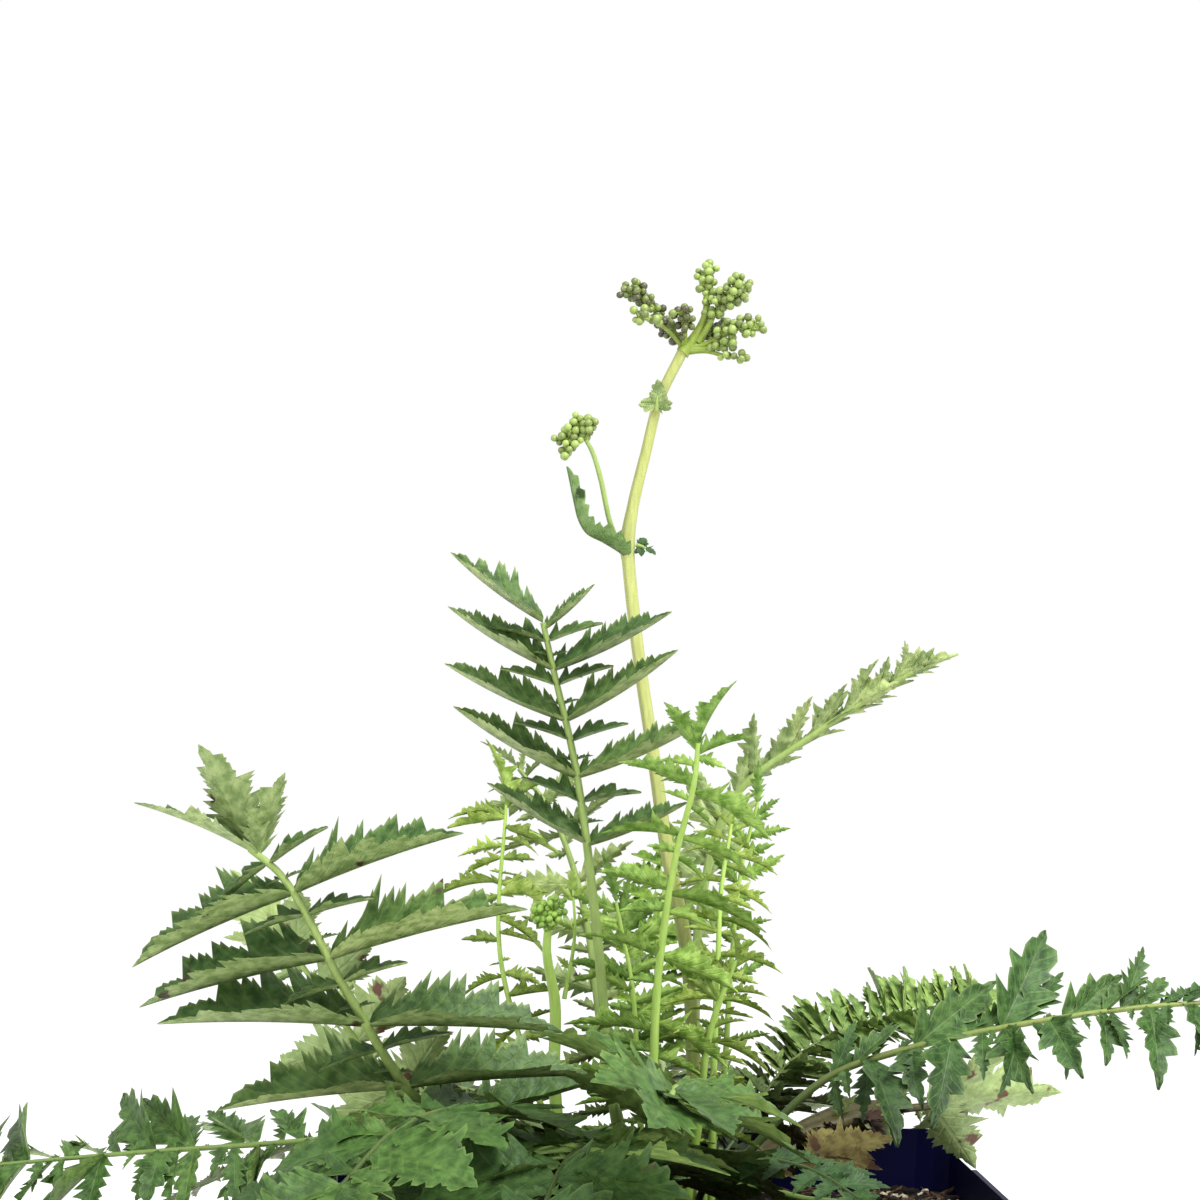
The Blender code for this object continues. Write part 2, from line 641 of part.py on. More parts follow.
def nearest_owner(made, face, owners):
    """The leaflet whose sheet lies nearest to a rim face."""
    centre = made.data.polygons[face].center
    best = min(range(len(owners)), key=lambda i: (made.data.polygons[i].center - centre).length_squared)
    return owners[best]


built = {"pot": tree_of(make_pot()), "compost": tree_of(make_compost())}
make_crown()
for name, made in (
    ("flower_stem", make_flower_stem()),
    ("side_stalk", add_tube("side_stalk", SIDE_STALK, [0.6, 0.5, 0.5, 0.45, 0.4], "young")),
    ("young_stem", add_tube("young_stem", YOUNG_STEM, [1.2, 1.2, 1.15, 1.1, 1.0, 0.8, 0.7], "young")),
    ("flower_head", make_flower_head(
        "flower_head", FLOWER_HEAD_HUB, FLOWER_HEAD_ENDS, BUD_RADIUS, "bud", 3, 1)),
    ("side_head", make_flower_head(
        "side_head", (-13.1, -0.4, 267.9), SIDE_HEAD_ENDS, 1.15 * BUD_RADIUS, "bud", 5, 0)),
    ("young_head", make_flower_head(
        "young_head", (-18.2, -7.7, 177.3), YOUNG_HEAD_ENDS, BUD_RADIUS, "young", 7, 0)),
):
    built[name] = tree_of(made)

SMALL = dict(bare=0.3, facing=(0, 1, 0.4), spread=60, twist=10, stalk=0.9)
add_leaf("stem_leaf", STEM_LEAF, dict(SMALL, pairs=2, leaflet=3.5, terminal=5), "leaf", built)
add_leaf("stem_stipule", STEM_STIPULE, dict(SMALL, pairs=0, leaflet=2, terminal=2.6), "leaf", built)
add_leaf("stem_bract", STEM_BRACT, dict(SMALL, pairs=0, leaflet=3, terminal=3.6), "leaf", built)
add_leaf("young_stem_leaf", YOUNG_STEM_LEAF, dict(SMALL, pairs=2, leaflet=4, terminal=5), "young", built)

PALE = {"left_pale_leaf", "old_pale_leaf"}
YOUNG = {
    "bright_leaf", "slender_left_leaf", "slender_right_leaf", "inner_left_leaf", "inner_right_leaf",
    "inner_right_back_leaf",
}
for name, shape in LEAVES.items():
    base = Vector((*shape["start"], CROWN_TOP + GAP))
    points = [base, base + Vector((0, 0, 2.5)), *shape["via"]]
    finish = "leaf"
    if name in PALE:
        finish = "pale"
    if name in YOUNG:
        finish = "young"
    if name == "withered_leaf":
        finish = "withered"
    add_leaf(name, points, shape, finish, built)
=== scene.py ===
import json
import math
import random

import bmesh
import bpy
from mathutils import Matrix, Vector, noise

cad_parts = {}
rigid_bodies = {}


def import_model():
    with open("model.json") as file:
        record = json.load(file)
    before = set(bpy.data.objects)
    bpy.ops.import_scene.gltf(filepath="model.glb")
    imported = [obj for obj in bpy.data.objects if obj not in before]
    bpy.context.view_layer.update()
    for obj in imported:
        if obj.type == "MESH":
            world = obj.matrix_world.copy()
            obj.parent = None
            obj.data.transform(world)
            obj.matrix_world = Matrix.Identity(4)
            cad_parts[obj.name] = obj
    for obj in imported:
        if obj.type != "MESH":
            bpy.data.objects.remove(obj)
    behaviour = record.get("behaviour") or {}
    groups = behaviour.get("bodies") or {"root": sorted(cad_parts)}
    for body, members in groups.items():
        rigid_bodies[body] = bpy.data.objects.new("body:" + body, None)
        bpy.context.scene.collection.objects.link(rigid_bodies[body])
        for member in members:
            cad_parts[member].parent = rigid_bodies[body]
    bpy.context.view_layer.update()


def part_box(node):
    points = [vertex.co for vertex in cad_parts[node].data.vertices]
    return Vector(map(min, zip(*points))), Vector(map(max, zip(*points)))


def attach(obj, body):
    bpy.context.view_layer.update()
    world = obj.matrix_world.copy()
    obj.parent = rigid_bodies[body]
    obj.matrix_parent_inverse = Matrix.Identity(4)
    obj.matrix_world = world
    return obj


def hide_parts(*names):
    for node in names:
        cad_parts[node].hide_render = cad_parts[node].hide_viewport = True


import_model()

mm = 0.001
scene = bpy.context.scene
scene.view_settings.view_transform = "Standard"


def sayStage(text):
    print(f"stage: {text}", flush=True)


def fromHex(text, alpha=1.0):
    # sRGB hex to the linear values that Blender works with.
    parts = [int(text[i:i + 2], 16) / 255 for i in (1, 3, 5)]
    return (*[p / 12.92 if p <= 0.04045 else ((p + 0.055) / 1.055) ** 2.4 for p in parts], alpha)


nodeFamilies = ("ShaderNode", "GeometryNode", "FunctionNode")


def add(tree, kind, inputs=(), out=0, **settings):
    # Adds one node, named without its family. An operation follows the kind after a dot. Inputs are
    # sockets, values, or tuples that stand for a further node: its name, then its own inputs.
    kind, _, operation = kind.partition(".")
    family = next(name for name in nodeFamilies if hasattr(bpy.types, name + kind))
    made = tree.nodes.new(family + kind)
    if operation:
        made.operation = operation
    for key, value in settings.items():
        setattr(made, key, value)
    for key, value in inputs.items() if isinstance(inputs, dict) else enumerate(inputs):
        for one in value if isinstance(value, list) else [value]:
            if isinstance(one, tuple) and isinstance(one[0], str):
                one = add(tree, one[0], list(one[1:]))
            if isinstance(one, bpy.types.NodeSocket):
                tree.links.new(one, made.inputs[key])
            elif one is not None:
                made.inputs[key].default_value = one
    return made.outputs[out] if len(made.outputs) else made


def newMaterial(name, roughness, specular=0.5):
    made = bpy.data.materials.new(name)
    made.use_nodes = True
    shader = made.node_tree.nodes["Principled BSDF"]
    shader.inputs["Roughness"].default_value = roughness
    shader.inputs["Specular IOR Level"].default_value = specular
    return made, made.node_tree, shader


def closeMaterial(tree, shader, colour, strength, depth, height):
    # Gives the shader its colour and a bump, whose depth is in millimetres.
    bump = add(tree, "Bump", {"Strength": strength, "Distance": depth * mm, "Height": height})
    tree.links.new(colour, shader.inputs["Base Color"])
    tree.links.new(bump, shader.inputs["Normal"])


def newTree(name, **sockets):
    # A Geometry Nodes tree, with the labels of its inputs listed by kind.
    tree = bpy.data.node_groups.new(name, "GeometryNodeTree")
    tree.interface.new_socket("Geometry", in_out="INPUT", socket_type="NodeSocketGeometry")
    for kind, labels in sockets.items():
        for label in labels.split(", "):
            tree.interface.new_socket(label, in_out="INPUT", socket_type=f"NodeSocket{kind}")
    tree.interface.new_socket("Geometry", in_out="OUTPUT", socket_type="NodeSocketGeometry")
    return tree, tree.nodes.new("NodeGroupInput").outputs


def closeTree(tree, result):
    tree.links.new(result, tree.nodes.new("NodeGroupOutput").inputs[0])


helpers = bpy.data.collections.new("helpers")
scene.collection.children.link(helpers)
helpers.hide_render = True


def helperGroup(name, meshes):
    group = bpy.data.collections.new(name)
    helpers.children.link(group)
    for mesh in meshes:
        group.objects.link(bpy.data.objects.new(mesh.name, mesh))
    return group


def grow(name, mesh, tree, values):
    # Runs a tree on a mesh once, and keeps what comes out as a plain mesh.
    made = stand(name, mesh)
    modifier = made.modifiers.new("grow", "NODES")
    modifier.node_group = tree
    for item in tree.interface.items_tree:
        if item.in_out == "INPUT" and item.name in values:
            modifier[item.identifier] = values[item.name]
    graph = bpy.context.evaluated_depsgraph_get()
    grown = bpy.data.meshes.new_from_object(made.evaluated_get(graph))
    made.modifiers.clear()
    made.data = grown
    grown.name = name
    bpy.data.meshes.remove(mesh)
    return made


def meshFrom(name, bm, finish=None):
    mesh = bpy.data.meshes.new(name)
    bm.to_mesh(mesh)
    bm.free()
    if finish:
        mesh.materials.append(finishes[finish])
    return mesh


def stand(name, mesh):
    made = bpy.data.objects.new(name, mesh)
    scene.collection.objects.link(made)
    return made


def dress(piece, nodes):
    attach(piece, "root")
    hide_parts(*nodes)


def directionAt(points, i):
    found = Vector()
    if i > 0:
        found += (points[i] - points[i - 1]).normalized()
    if i < len(points) - 1:
        found += (points[i + 1] - points[i]).normalized()
    return found.normalized()


def smoothLine(points, steps=10):
    # The same smooth line as the solids follow, as many short straight steps.
    knots = [Vector(p) for p in points]
    line = []
    for i in range(len(knots) - 1):
        chord = (knots[i + 1] - knots[i]).length
        leave, arrive = directionAt(knots, i) * chord, directionAt(knots, i + 1) * chord
        for k in range(steps):
            u = k / steps
            line.append(
                (2 * u ** 3 - 3 * u ** 2 + 1) * knots[i] + (u ** 3 - 2 * u ** 2 + u) * leave
                + (3 * u ** 2 - 2 * u ** 3) * knots[i + 1] + (u ** 3 - u ** 2) * arrive
            )
    return [*line, knots[-1]]


def pathMesh(name, lines, numbers=None):
    # Lines of points in millimetres as one mesh of edges, with a number per point for each name.
    mesh = bpy.data.meshes.new(name)
    points, edges = [], []
    for line in lines:
        edges += [(len(points) + i, len(points) + i + 1) for i in range(len(line) - 1)]
        points += [Vector(p) * mm for p in line]
    mesh.from_pydata(points, edges, [])
    for label, values in (numbers or {}).items():
        mesh.attributes.new(label, "FLOAT", "POINT").data.foreach_set("value", values)
    return mesh


# Materials

def stalkMaterial(name, look):
    # Ribbed green stalk: pale along the ribs, duller towards the compost.
    made, tree, shader = newMaterial(name, 0.45, 0.25)
    place = add(tree, "TexCoord", out="Object")
    height = add(tree, "SeparateXYZ", [place], out="Z")
    low = add(tree, "MapRange", [height, look["low"] * mm, look["high"] * mm, 1.0, 0.0],
              interpolation_type="SMOOTHSTEP")
    stretched = add(tree, "Mapping", {"Vector": place, "Scale": (1, 1, 0.12)})
    streaks = add(tree, "TexNoise", {"Vector": stretched, "Scale": 1 / (0.7 * mm), "Detail": 2.0})
    streaked = add(tree, "Mix", {0: streaks, 6: fromHex(look["dark"]), 7: fromHex(look["light"])},
                   out=2, data_type="RGBA")
    colour = add(tree, "Mix", {0: low, 6: streaked, 7: fromHex(look["base"])}, out=2, data_type="RGBA")
    closeMaterial(tree, shader, colour, 0.35, 0.12, streaks)
    return made


def leafMaterial(name, look):
    # Leaf blade: dark quilted upper face, paler felted under face, veins that run to the teeth.
    made, tree, shader = newMaterial(name, look.get("roughness", 0.5), 0.2)
    chart = add(tree, "SeparateXYZ", [add(tree, "UVMap", uv_map="leafUV")]).node.outputs
    away = add(tree, "Math.ABSOLUTE", [chart["Y"]])
    slant = add(tree, "Math.MULTIPLY", [away, 0.22])
    run = add(tree, "Math.SUBTRACT", [chart["X"], slant])
    wave = add(tree, "Math.PINGPONG", [run, 0.5 / look.get("veins", 9)])
    side = add(tree, "MapRange", [wave, 0.0, 0.16 / look.get("veins", 9), 0.75, 0.0],
               interpolation_type="SMOOTHSTEP")
    middle = add(tree, "MapRange", [away, 0.03, 0.13, 1.0, 0.0], interpolation_type="SMOOTHSTEP")
    veins = add(tree, "Math.MAXIMUM", [side, middle])
    under = add(tree, "Attribute", out="Fac", attribute_name="under")
    tint = add(tree, "Attribute", out="Fac", attribute_name="tint")
    place = add(tree, "TexCoord", out="Object")
    # The quilt noise bumps the blade and mixes its light and dark colours: partly mottled colour, partly
    # painted light and shade on the quilted surface.
    quilt = add(tree, "TexNoise", {"Vector": place, "Scale": 1 / (1.7 * mm), "Detail": 3.0})
    patches = add(tree, "MapRange", [quilt, 0.36, 0.64, 0.0, 1.0])
    upper = add(tree, "Mix", {0: patches, 6: fromHex(look["upperDark"]), 7: fromHex(look["upper"])},
                out=2, data_type="RGBA")
    lower = add(tree, "Mix", {0: patches, 6: fromHex(look["underDark"]), 7: fromHex(look["under"])},
                out=2, data_type="RGBA")
    face = add(tree, "Mix", {0: under, 6: upper, 7: lower}, out=2, data_type="RGBA")
    edge = add(tree, "MapRange", [away, 0.86, 1.0, 0.0, 0.8])
    vein = add(tree, "Math.MAXIMUM",
               [("Math.MULTIPLY", veins, look.get("veinShare", 0.2)), ("Math.MULTIPLY", edge, 0.4)])
    veined = add(tree, "Mix", {0: vein, 6: face, 7: fromHex(look["vein"])}, out=2, data_type="RGBA")
    if "spot" in look:
        blots = add(tree, "TexNoise", {"Vector": place, "Scale": 1 / (5 * mm), "Detail": 4.0})
        spot = add(tree, "MapRange", [blots, *look["spotRange"], 0.0, 1.0])
        veined = add(tree, "Mix", {0: spot, 6: veined, 7: fromHex(look["spot"])}, out=2, data_type="RGBA")
    # Painted shade: blades low in the plant, and the low parts of each blade, are darkened by height, as the
    # foliage above shades them.
    # Painted shade: below the given heights the blade's colour is scaled down.
    low, high, depth = look.get("rise", (122, 150, 0.5))
    height = add(tree, "SeparateXYZ", [place], out="Z")
    deep = add(tree, "MapRange", [height, low * mm, high * mm, depth, 1.0])
    value = add(tree, "Math.MULTIPLY", [
        deep, add(tree, "MapRange", [tint, 0.0, 1.0, *look.get("tintRange", (0.82, 1.18))]),
    ])
    hue = add(tree, "MapRange", [tint, 0.0, 1.0, 0.508, 0.492])
    colour = add(tree, "HueSaturation", {"Hue": hue, "Value": value, "Color": veined})
    closeMaterial(tree, shader, colour, 0.55, 0.15, add(tree, "Math.SUBTRACT", [patches, veins]))
    return made


def budMaterial(name, look):
    # Closed flower buds: waxy green, some turned olive or purple where light has browned them.
    made, tree, shader = newMaterial(name, 0.45, 0.45)
    tint = add(tree, "Attribute", out="Fac", attribute_name="tint")
    place = add(tree, "TexCoord", out="Object")
    grain = add(tree, "TexNoise", {"Vector": place, "Scale": 1 / (0.6 * mm), "Detail": 2.0})
    both = add(tree, "Math.MULTIPLY_ADD", [grain, 0.5, tint])
    ramp = tree.nodes.new("ShaderNodeValToRGB")
    tree.links.new(both, ramp.inputs[0])
    for i, (stop, text) in enumerate(look["stops"]):
        mark = ramp.color_ramp.elements[i] if i < 2 else ramp.color_ramp.elements.new(stop)
        mark.position = stop
        mark.color = fromHex(text)
    closeMaterial(tree, shader, ramp.outputs[0], 0.3, 0.08, grain)
    return made


stalkLooks = {
    "stemRibbed": dict(low=120, high=190, dark="#7d8644", light="#a4a768", base="#768a40"),
    "rayGreen": dict(low=240, high=284, dark="#65772b", light="#7a8a3a", base="#889348"),
    "stalkRibbed": dict(low=122, high=165, dark="#6a7f42", light="#8fa35c", base="#4f6430"),
    # A darker copy of the ribbed stalk for rachises under the foliage: painted shade, darkest low near the
    # crown.
    "stalkDeep": dict(low=138, high=176, dark="#6f7f40", light="#929c54", base="#33431f"),
    "stalkYoung": dict(low=122, high=170, dark="#809f46", light="#a2bd60", base="#6f8d3c"),
    "stalkWithered": dict(low=120, high=138, dark="#211a10", light="#4a4724", base="#1b140d"),
}
# The height triple in a look gives where painted shade starts and ends, in millimetres, and how dark the
# blade is at the lower end.
leafLooks = {
    "leafGreen": dict(
        upper="#47622e", upperDark="#2a4419", under="#92a168", underDark="#667a43", vein="#96a468",
        spot="#3e2c22", spotRange=(0.68, 0.72), veinShare=0.13, rise=(122, 146, 0.5),
    ),
    "leafBlueGreen": dict(
        upper="#405c2a", upperDark="#274017", under="#687e42", underDark="#485f2b", vein="#687f40",
        spot="#4a3428", spotRange=(0.7, 0.74), veins=7, veinShare=0.14, rise=(118, 147, 0.5),
        tintRange=(0.76, 1.3),
    ),
    "leafGreyGreen": dict(
        upper="#4a6830", upperDark="#284218", under="#77904e", underDark="#566e36", vein="#7f935a",
        rise=(118, 134, 0.7),
    ),
    "leafTrailing": dict(
        upper="#3d5a2a", upperDark="#213a16", under="#6c8450", underDark="#4b6433", vein="#7f965a",
        rise=(138, 158, 0.36),
    ),
    # The shingled comb: light colours at its top and nearly black below, painted light and painted shade by
    # height.
    "leafLayered": dict(
        upper="#7a944c", upperDark="#4a662a", under="#8aa05c", underDark="#5e7639", vein="#a2b474",
        rise=(142, 159, 0.1),
    ),
    # Young leaves: their own yellower green, made brighter still as painted light for the light that shines
    # through the thin young blades.
    "leafYoung": dict(
        upper="#85a440", upperDark="#4b6a1e", under="#9cb25a", underDark="#6c8630", vein="#b0c672",
        tintRange=(0.74, 1.16), rise=(125, 164, 0.4),
    ),
    "leafFresh": dict(
        upper="#62832f", upperDark="#385818", under="#8aa852", underDark="#547628", vein="#9cb866",
        tintRange=(0.74, 1.2), rise=(125, 162, 0.45),
    ),
    "leafShaded": dict(
        upper="#355427", upperDark="#1f3715", under="#426333", underDark="#2c4a25", vein="#587346",
    ),
    "leafPale": dict(
        upper="#7f9458", upperDark="#687c46", under="#94a86c", underDark="#7c9056", vein="#b0bc88",
        spot="#5a4030", spotRange=(0.6, 0.66), veins=6, rise=(120, 140, 0.8),
    ),
    "leafStem": dict(
        upper="#4a6a34", upperDark="#2f4c20", under="#86a062", underDark="#6a8848", vein="#90a868",
        spot="#34481f", spotRange=(0.62, 0.68),
    ),
    "leafDead": dict(
        upper="#35261c", upperDark="#1f1512", under="#443a22", underDark="#2a1e18", vein="#44371f",
        spot="#6d7a38", spotRange=(0.56, 0.62), roughness=0.8, rise=(120, 130, 0.7),
    ),
    "leafWithered": dict(
        upper="#7d7442", upperDark="#5c5029", under="#8e8653", underDark="#6c6233", vein="#a39c60",
        spot="#4a3420", spotRange=(0.56, 0.66), roughness=0.8,
    ),
}
budLooks = {
    "budWaxy": dict(stops=[(0.2, "#84984c"), (0.5, "#6a7a3a"), (0.78, "#4f582b"), (1.0, "#3b3525")]),
    "budYoung": dict(stops=[(0.2, "#9cbd58"), (0.7, "#7a9e40"), (1.0, "#688a34")]),
}
finishes = {name: stalkMaterial(name, look) for name, look in stalkLooks.items()}
finishes |= {name: leafMaterial(name, look) for name, look in leafLooks.items()}
finishes |= {name: budMaterial(name, look) for name, look in budLooks.items()}
sayStage("materials")


# Leaflets: each is a thin closed blade, folded along its midrib, with forward-pointing teeth.

leafletShapes = {
    "folded": dict(length=20, half=4.6, teeth=11, depth=0.26, fold=56, arch=-0.16, ruffle=0.5, double=True),
    "shingle": dict(length=12, half=4.0, teeth=6, depth=0.34, fold=20, arch=0.1, ruffle=0.8),
    "long": dict(length=30, half=8.8, teeth=11, depth=0.32, fold=52, arch=0.08, ruffle=0.7, double=True),
    "broad": dict(length=24, half=7.2, teeth=8, depth=0.34, fold=20, arch=0.12, ruffle=1.1, double=True),
    "blunt": dict(length=24, half=9.0, teeth=11, depth=0.2, fold=16, arch=0.14, ruffle=1.4),
    "sharp": dict(length=20, half=4.1, teeth=8, depth=0.5, fold=24, arch=0.16, ruffle=0.8),
    "keen": dict(length=18, half=4.8, teeth=7, depth=0.42, fold=34, arch=0.2, ruffle=1.0, double=True),
    "slender": dict(length=14, half=3.1, teeth=9, depth=0.42, fold=48, arch=0.34, ruffle=0.4),
    "narrow": dict(length=12, half=2.5, teeth=8, depth=0.42, fold=36, arch=0.2, ruffle=0.3),
    "fan": dict(copies=3, length=5, half=2.5, teeth=3, depth=0.34, fold=14, arch=0.2, ruffle=0.3),
    "tiny": dict(copies=3, length=5, half=1.3, teeth=5, depth=0.4, fold=36, arch=0.1, ruffle=0.2),
}


widestAt, footWidth = 0.26, 0.34


def bladeReach(u):
    # The blade's half width as a share of the widest.
    if u < widestAt:
        return footWidth + (1 - footWidth) * (u / widestAt) ** 0.7
    return 1 - ((u - widestAt) / (1 - widestAt)) ** 1.9


def marginRows(shape, draw):
    # (place along, reach, tooth number) of the margin, from the foot to just before the tip.
    rows = [(0.0, 0.7, 0)]
    wide = [draw.uniform(0.7, 1.3) * (1.15 if k % 2 else 0.85) for k in range(shape["teeth"])]
    start, span = 0.0, 0.0
    for k in range(shape["teeth"]):
        start += span
        span = wide[k] / sum(wide)
        deep = 1 - shape["depth"]
        if k:
            rows.append((start, deep, k))
        if shape.get("double"):
            rows += [(start + 0.36 * span, deep + 0.26, k), (start + 0.46 * span, deep + 0.16, k)]
        else:
            rows.append((start + 0.45 * span, deep + 0.3, k))
        rows.append((start + 0.86 * span, 1.06, k))
    return rows


def finishBlade(mesh, under, charts):
    # Marks the under face, charts the blade from foot to tip, and keeps its margin crisp.
    mesh.attributes.new("under", "FLOAT", "FACE").data.foreach_set("value", under)
    chart = mesh.uv_layers.new(name="leafUV")
    for loop in mesh.loops:
        chart.data[loop.index].uv = charts[loop.vertex_index]
    bm = bmesh.new()
    bm.from_mesh(mesh)
    flag = bm.faces.layers.float["under"]
    bmesh.ops.recalc_face_normals(bm, faces=bm.faces)
    for face in bm.faces:
        face.smooth = True
    for edge in bm.edges:
        edge.smooth = len({face[flag] for face in edge.link_faces}) == 1
    bm.to_mesh(mesh)
    bm.free()
    return mesh


def leafletMesh(name, shape, seed):
    draw = random.Random(seed)
    length, half, thick = shape["length"], shape["half"], 0.3
    rows = marginRows(shape, draw)
    heights = {
        (k, s): (1.12 if (k + (s > 0)) % 2 else 0.84) * draw.uniform(0.82, 1.16)
        for k in range(shape["teeth"] + 1) for s in (1, -1)
    }
    waves = [draw.uniform(0, 6.3) for _ in range(2)]
    points, charts, faces, under = [], [], [], []

    def place(u, across, lift=0.0):
        # across is in millimetres, and lift moves the point off the blade.
        s = 1 if across >= 0 else -1
        fold = math.radians(shape["fold"]) * (1 - 0.25 * abs(across) / half)
        wavy = shape["ruffle"] * (across / half) ** 2 * math.sin(9 * u + waves[s > 0])
        x = length * u + 0.42 * abs(across) * (1 - u)
        y = across * math.cos(fold) - lift * s * math.sin(fold) * (across != 0)
        z = abs(across) * math.sin(fold) + wavy + lift * math.cos(fold)
        bend = shape["arch"] * u * u
        return Vector((x - 0.5 * bend * bend * length - z * bend, y, z - bend * length)) * mm

    grid = {"top": [], "low": []}
    for j, (u, reach, k) in enumerate(rows):
        across = [s * half * bladeReach(u) * reach * heights[k, s] for s in (1, -1)]
        inner = [s * 0.55 * (1 - shape["depth"]) * half * bladeReach(u) for s in (1, -1)]
        columns = [across[0], inner[0], 0.0, inner[1], across[1]]
        top, low = [], []
        for c, far in enumerate(columns):
            shared = j == 0 or c in (0, 4)
            body = 0.0 if shared else thick * (0.5 if c == 2 else 0.35)
            for side, line in ((1, top), (-1, low)):
                if side < 0 and shared:
                    line.append(top[c])
                    continue
                line.append(len(points))
                points.append(place(u, far, side * body))
                charts.append((u, (1.0, 0.5, 0.0, -0.5, -1.0)[c]))
        grid["top"].append(top)
        grid["low"].append(low)
    tip = len(points)
    points.append(place(1.0, 0.0))
    charts.append((1.0, 0.0))
    for face, lines in grid.items():
        for a, b in zip(lines, lines[1:]):
            for c in range(4):
                faces.append((a[c], a[c + 1], b[c + 1], b[c]))
                under.append(float(face == "low"))
        for c in range(4):
            faces.append((lines[-1][c], lines[-1][c + 1], tip))
            under.append(float(face == "low"))
    mesh = bpy.data.meshes.new(name)
    mesh.from_pydata(points, [], faces)
    return finishBlade(mesh, under, charts)


leafletGroups = {
    kind: helperGroup(
        f"{kind}Leaflets",
        [leafletMesh(f"{kind}Leaflet{n}", shape, 11 * n + len(kind)) for n in range(shape.get("copies", 4))],
    )
    for kind, shape in leafletShapes.items()
}
sayStage("leaflets")


# The pinnate leaf: leaflet pairs along a rachis, small ones between them and three joined at the tip.

def squareTo(tree, vector, axis):
    share = add(tree, "VectorMath.DOT_PRODUCT", [vector, axis], out=1)
    along = add(tree, "VectorMath.SCALE", {0: axis, 3: share})
    return add(tree, "VectorMath.NORMALIZE", [("VectorMath.SUBTRACT", vector, along)])


def turned(tree, first, second, angle):
    # first turned towards second by the angle.
    return add(tree, "VectorMath.ADD", [
        add(tree, "VectorMath.SCALE", {0: first, 3: ("Math.COSINE", angle)}),
        add(tree, "VectorMath.SCALE", {0: second, 3: ("Math.SINE", angle)}),
    ])


def leafletRow(tree, given, line, row):
    seed = add(tree, "Math.ADD", [given["Seed"], float(row["seed"])])

    def wander(amount, offset):
        # A chance share of the amount. Each use has an offset of its own, so its draws are its own.
        own = add(tree, "Math.ADD", [seed, float(offset)])
        chance = add(tree, "RandomValue", {2: -amount, 3: amount, "Seed": own}, out=1)
        return add(tree, "Math.MULTIPLY", [chance, given["Wander"]])

    foot = add(tree, "Math.ADD", [row["distance"], wander(0.5 * mm, 11)])
    sample = add(tree, "SampleCurve", {"Curves": line, "Length": foot}, mode="LENGTH").node.outputs
    tangent = sample["Tangent"]
    normal = squareTo(tree, given["Facing"], tangent)
    # The rows lie flat to both sides, or are raised towards the upper face where the leaf is cupped.
    flat = add(tree, "VectorMath.SCALE", {0: ("VectorMath.CROSS_PRODUCT", tangent, normal), 3: row["side"]})
    side = turned(tree, flat, normal, given["Cup"])
    spread = add(tree, "Math.ADD", [row["spread"], wander(0.12, 1)])
    chance = add(tree, "RandomValue", {2: 0.2, 3: 1.4, "Seed": ("Math.ADD", seed, 3.0)}, out=1)
    fall = add(tree, "Math.MULTIPLY", [given["Droop"], chance])
    hang = add(tree, "VectorMath.SCALE", {0: (0, 0, -1), 3: fall})
    axis = add(tree, "VectorMath.NORMALIZE", [
        ("VectorMath.ADD", turned(tree, tangent, side, spread), hang),
    ])
    roll = add(tree, "Math.ADD", [row["twist"], wander(0.25, 5)])
    blade = add(tree, "VectorMath.ADD", [
        turned(tree, squareTo(tree, normal, axis), squareTo(tree, tangent, axis), roll), given["Open"],
    ])
    points = add(tree, "SetPosition", {
        "Geometry": add(tree, "Points", {"Count": row["count"]}), "Position": sample["Position"],
    })
    size = add(tree, "Math.MULTIPLY", [row["length"], ("Math.ADD", 1.0, wander(row["vary"], 7))])
    pick = add(tree, "RandomValue", {4: 0, 5: 3, "Seed": seed}, out=2, data_type="INT")
    placed = add(tree, "InstanceOnPoints", {
        "Points": points, "Selection": ("Math.GREATER_THAN", size, 0.1),
        "Instance": add(tree, "CollectionInfo", [row["leaflets"], True, True]),
        "Pick Instance": True, "Instance Index": pick, "Scale": size,
        "Rotation": add(tree, "AxesToRotation", {"Primary Axis": axis, "Secondary Axis": blade},
                        primary_axis="X", secondary_axis="Z"),
    })
    tint = add(tree, "RandomValue", {2: 0.0, 3: 1.0, "Seed": ("Math.ADD", seed, 9.0)}, out=1)
    return add(tree, "StoreNamedAttribute", {"Geometry": placed, "Name": "tint", "Value": tint},
               data_type="FLOAT", domain="INSTANCE")


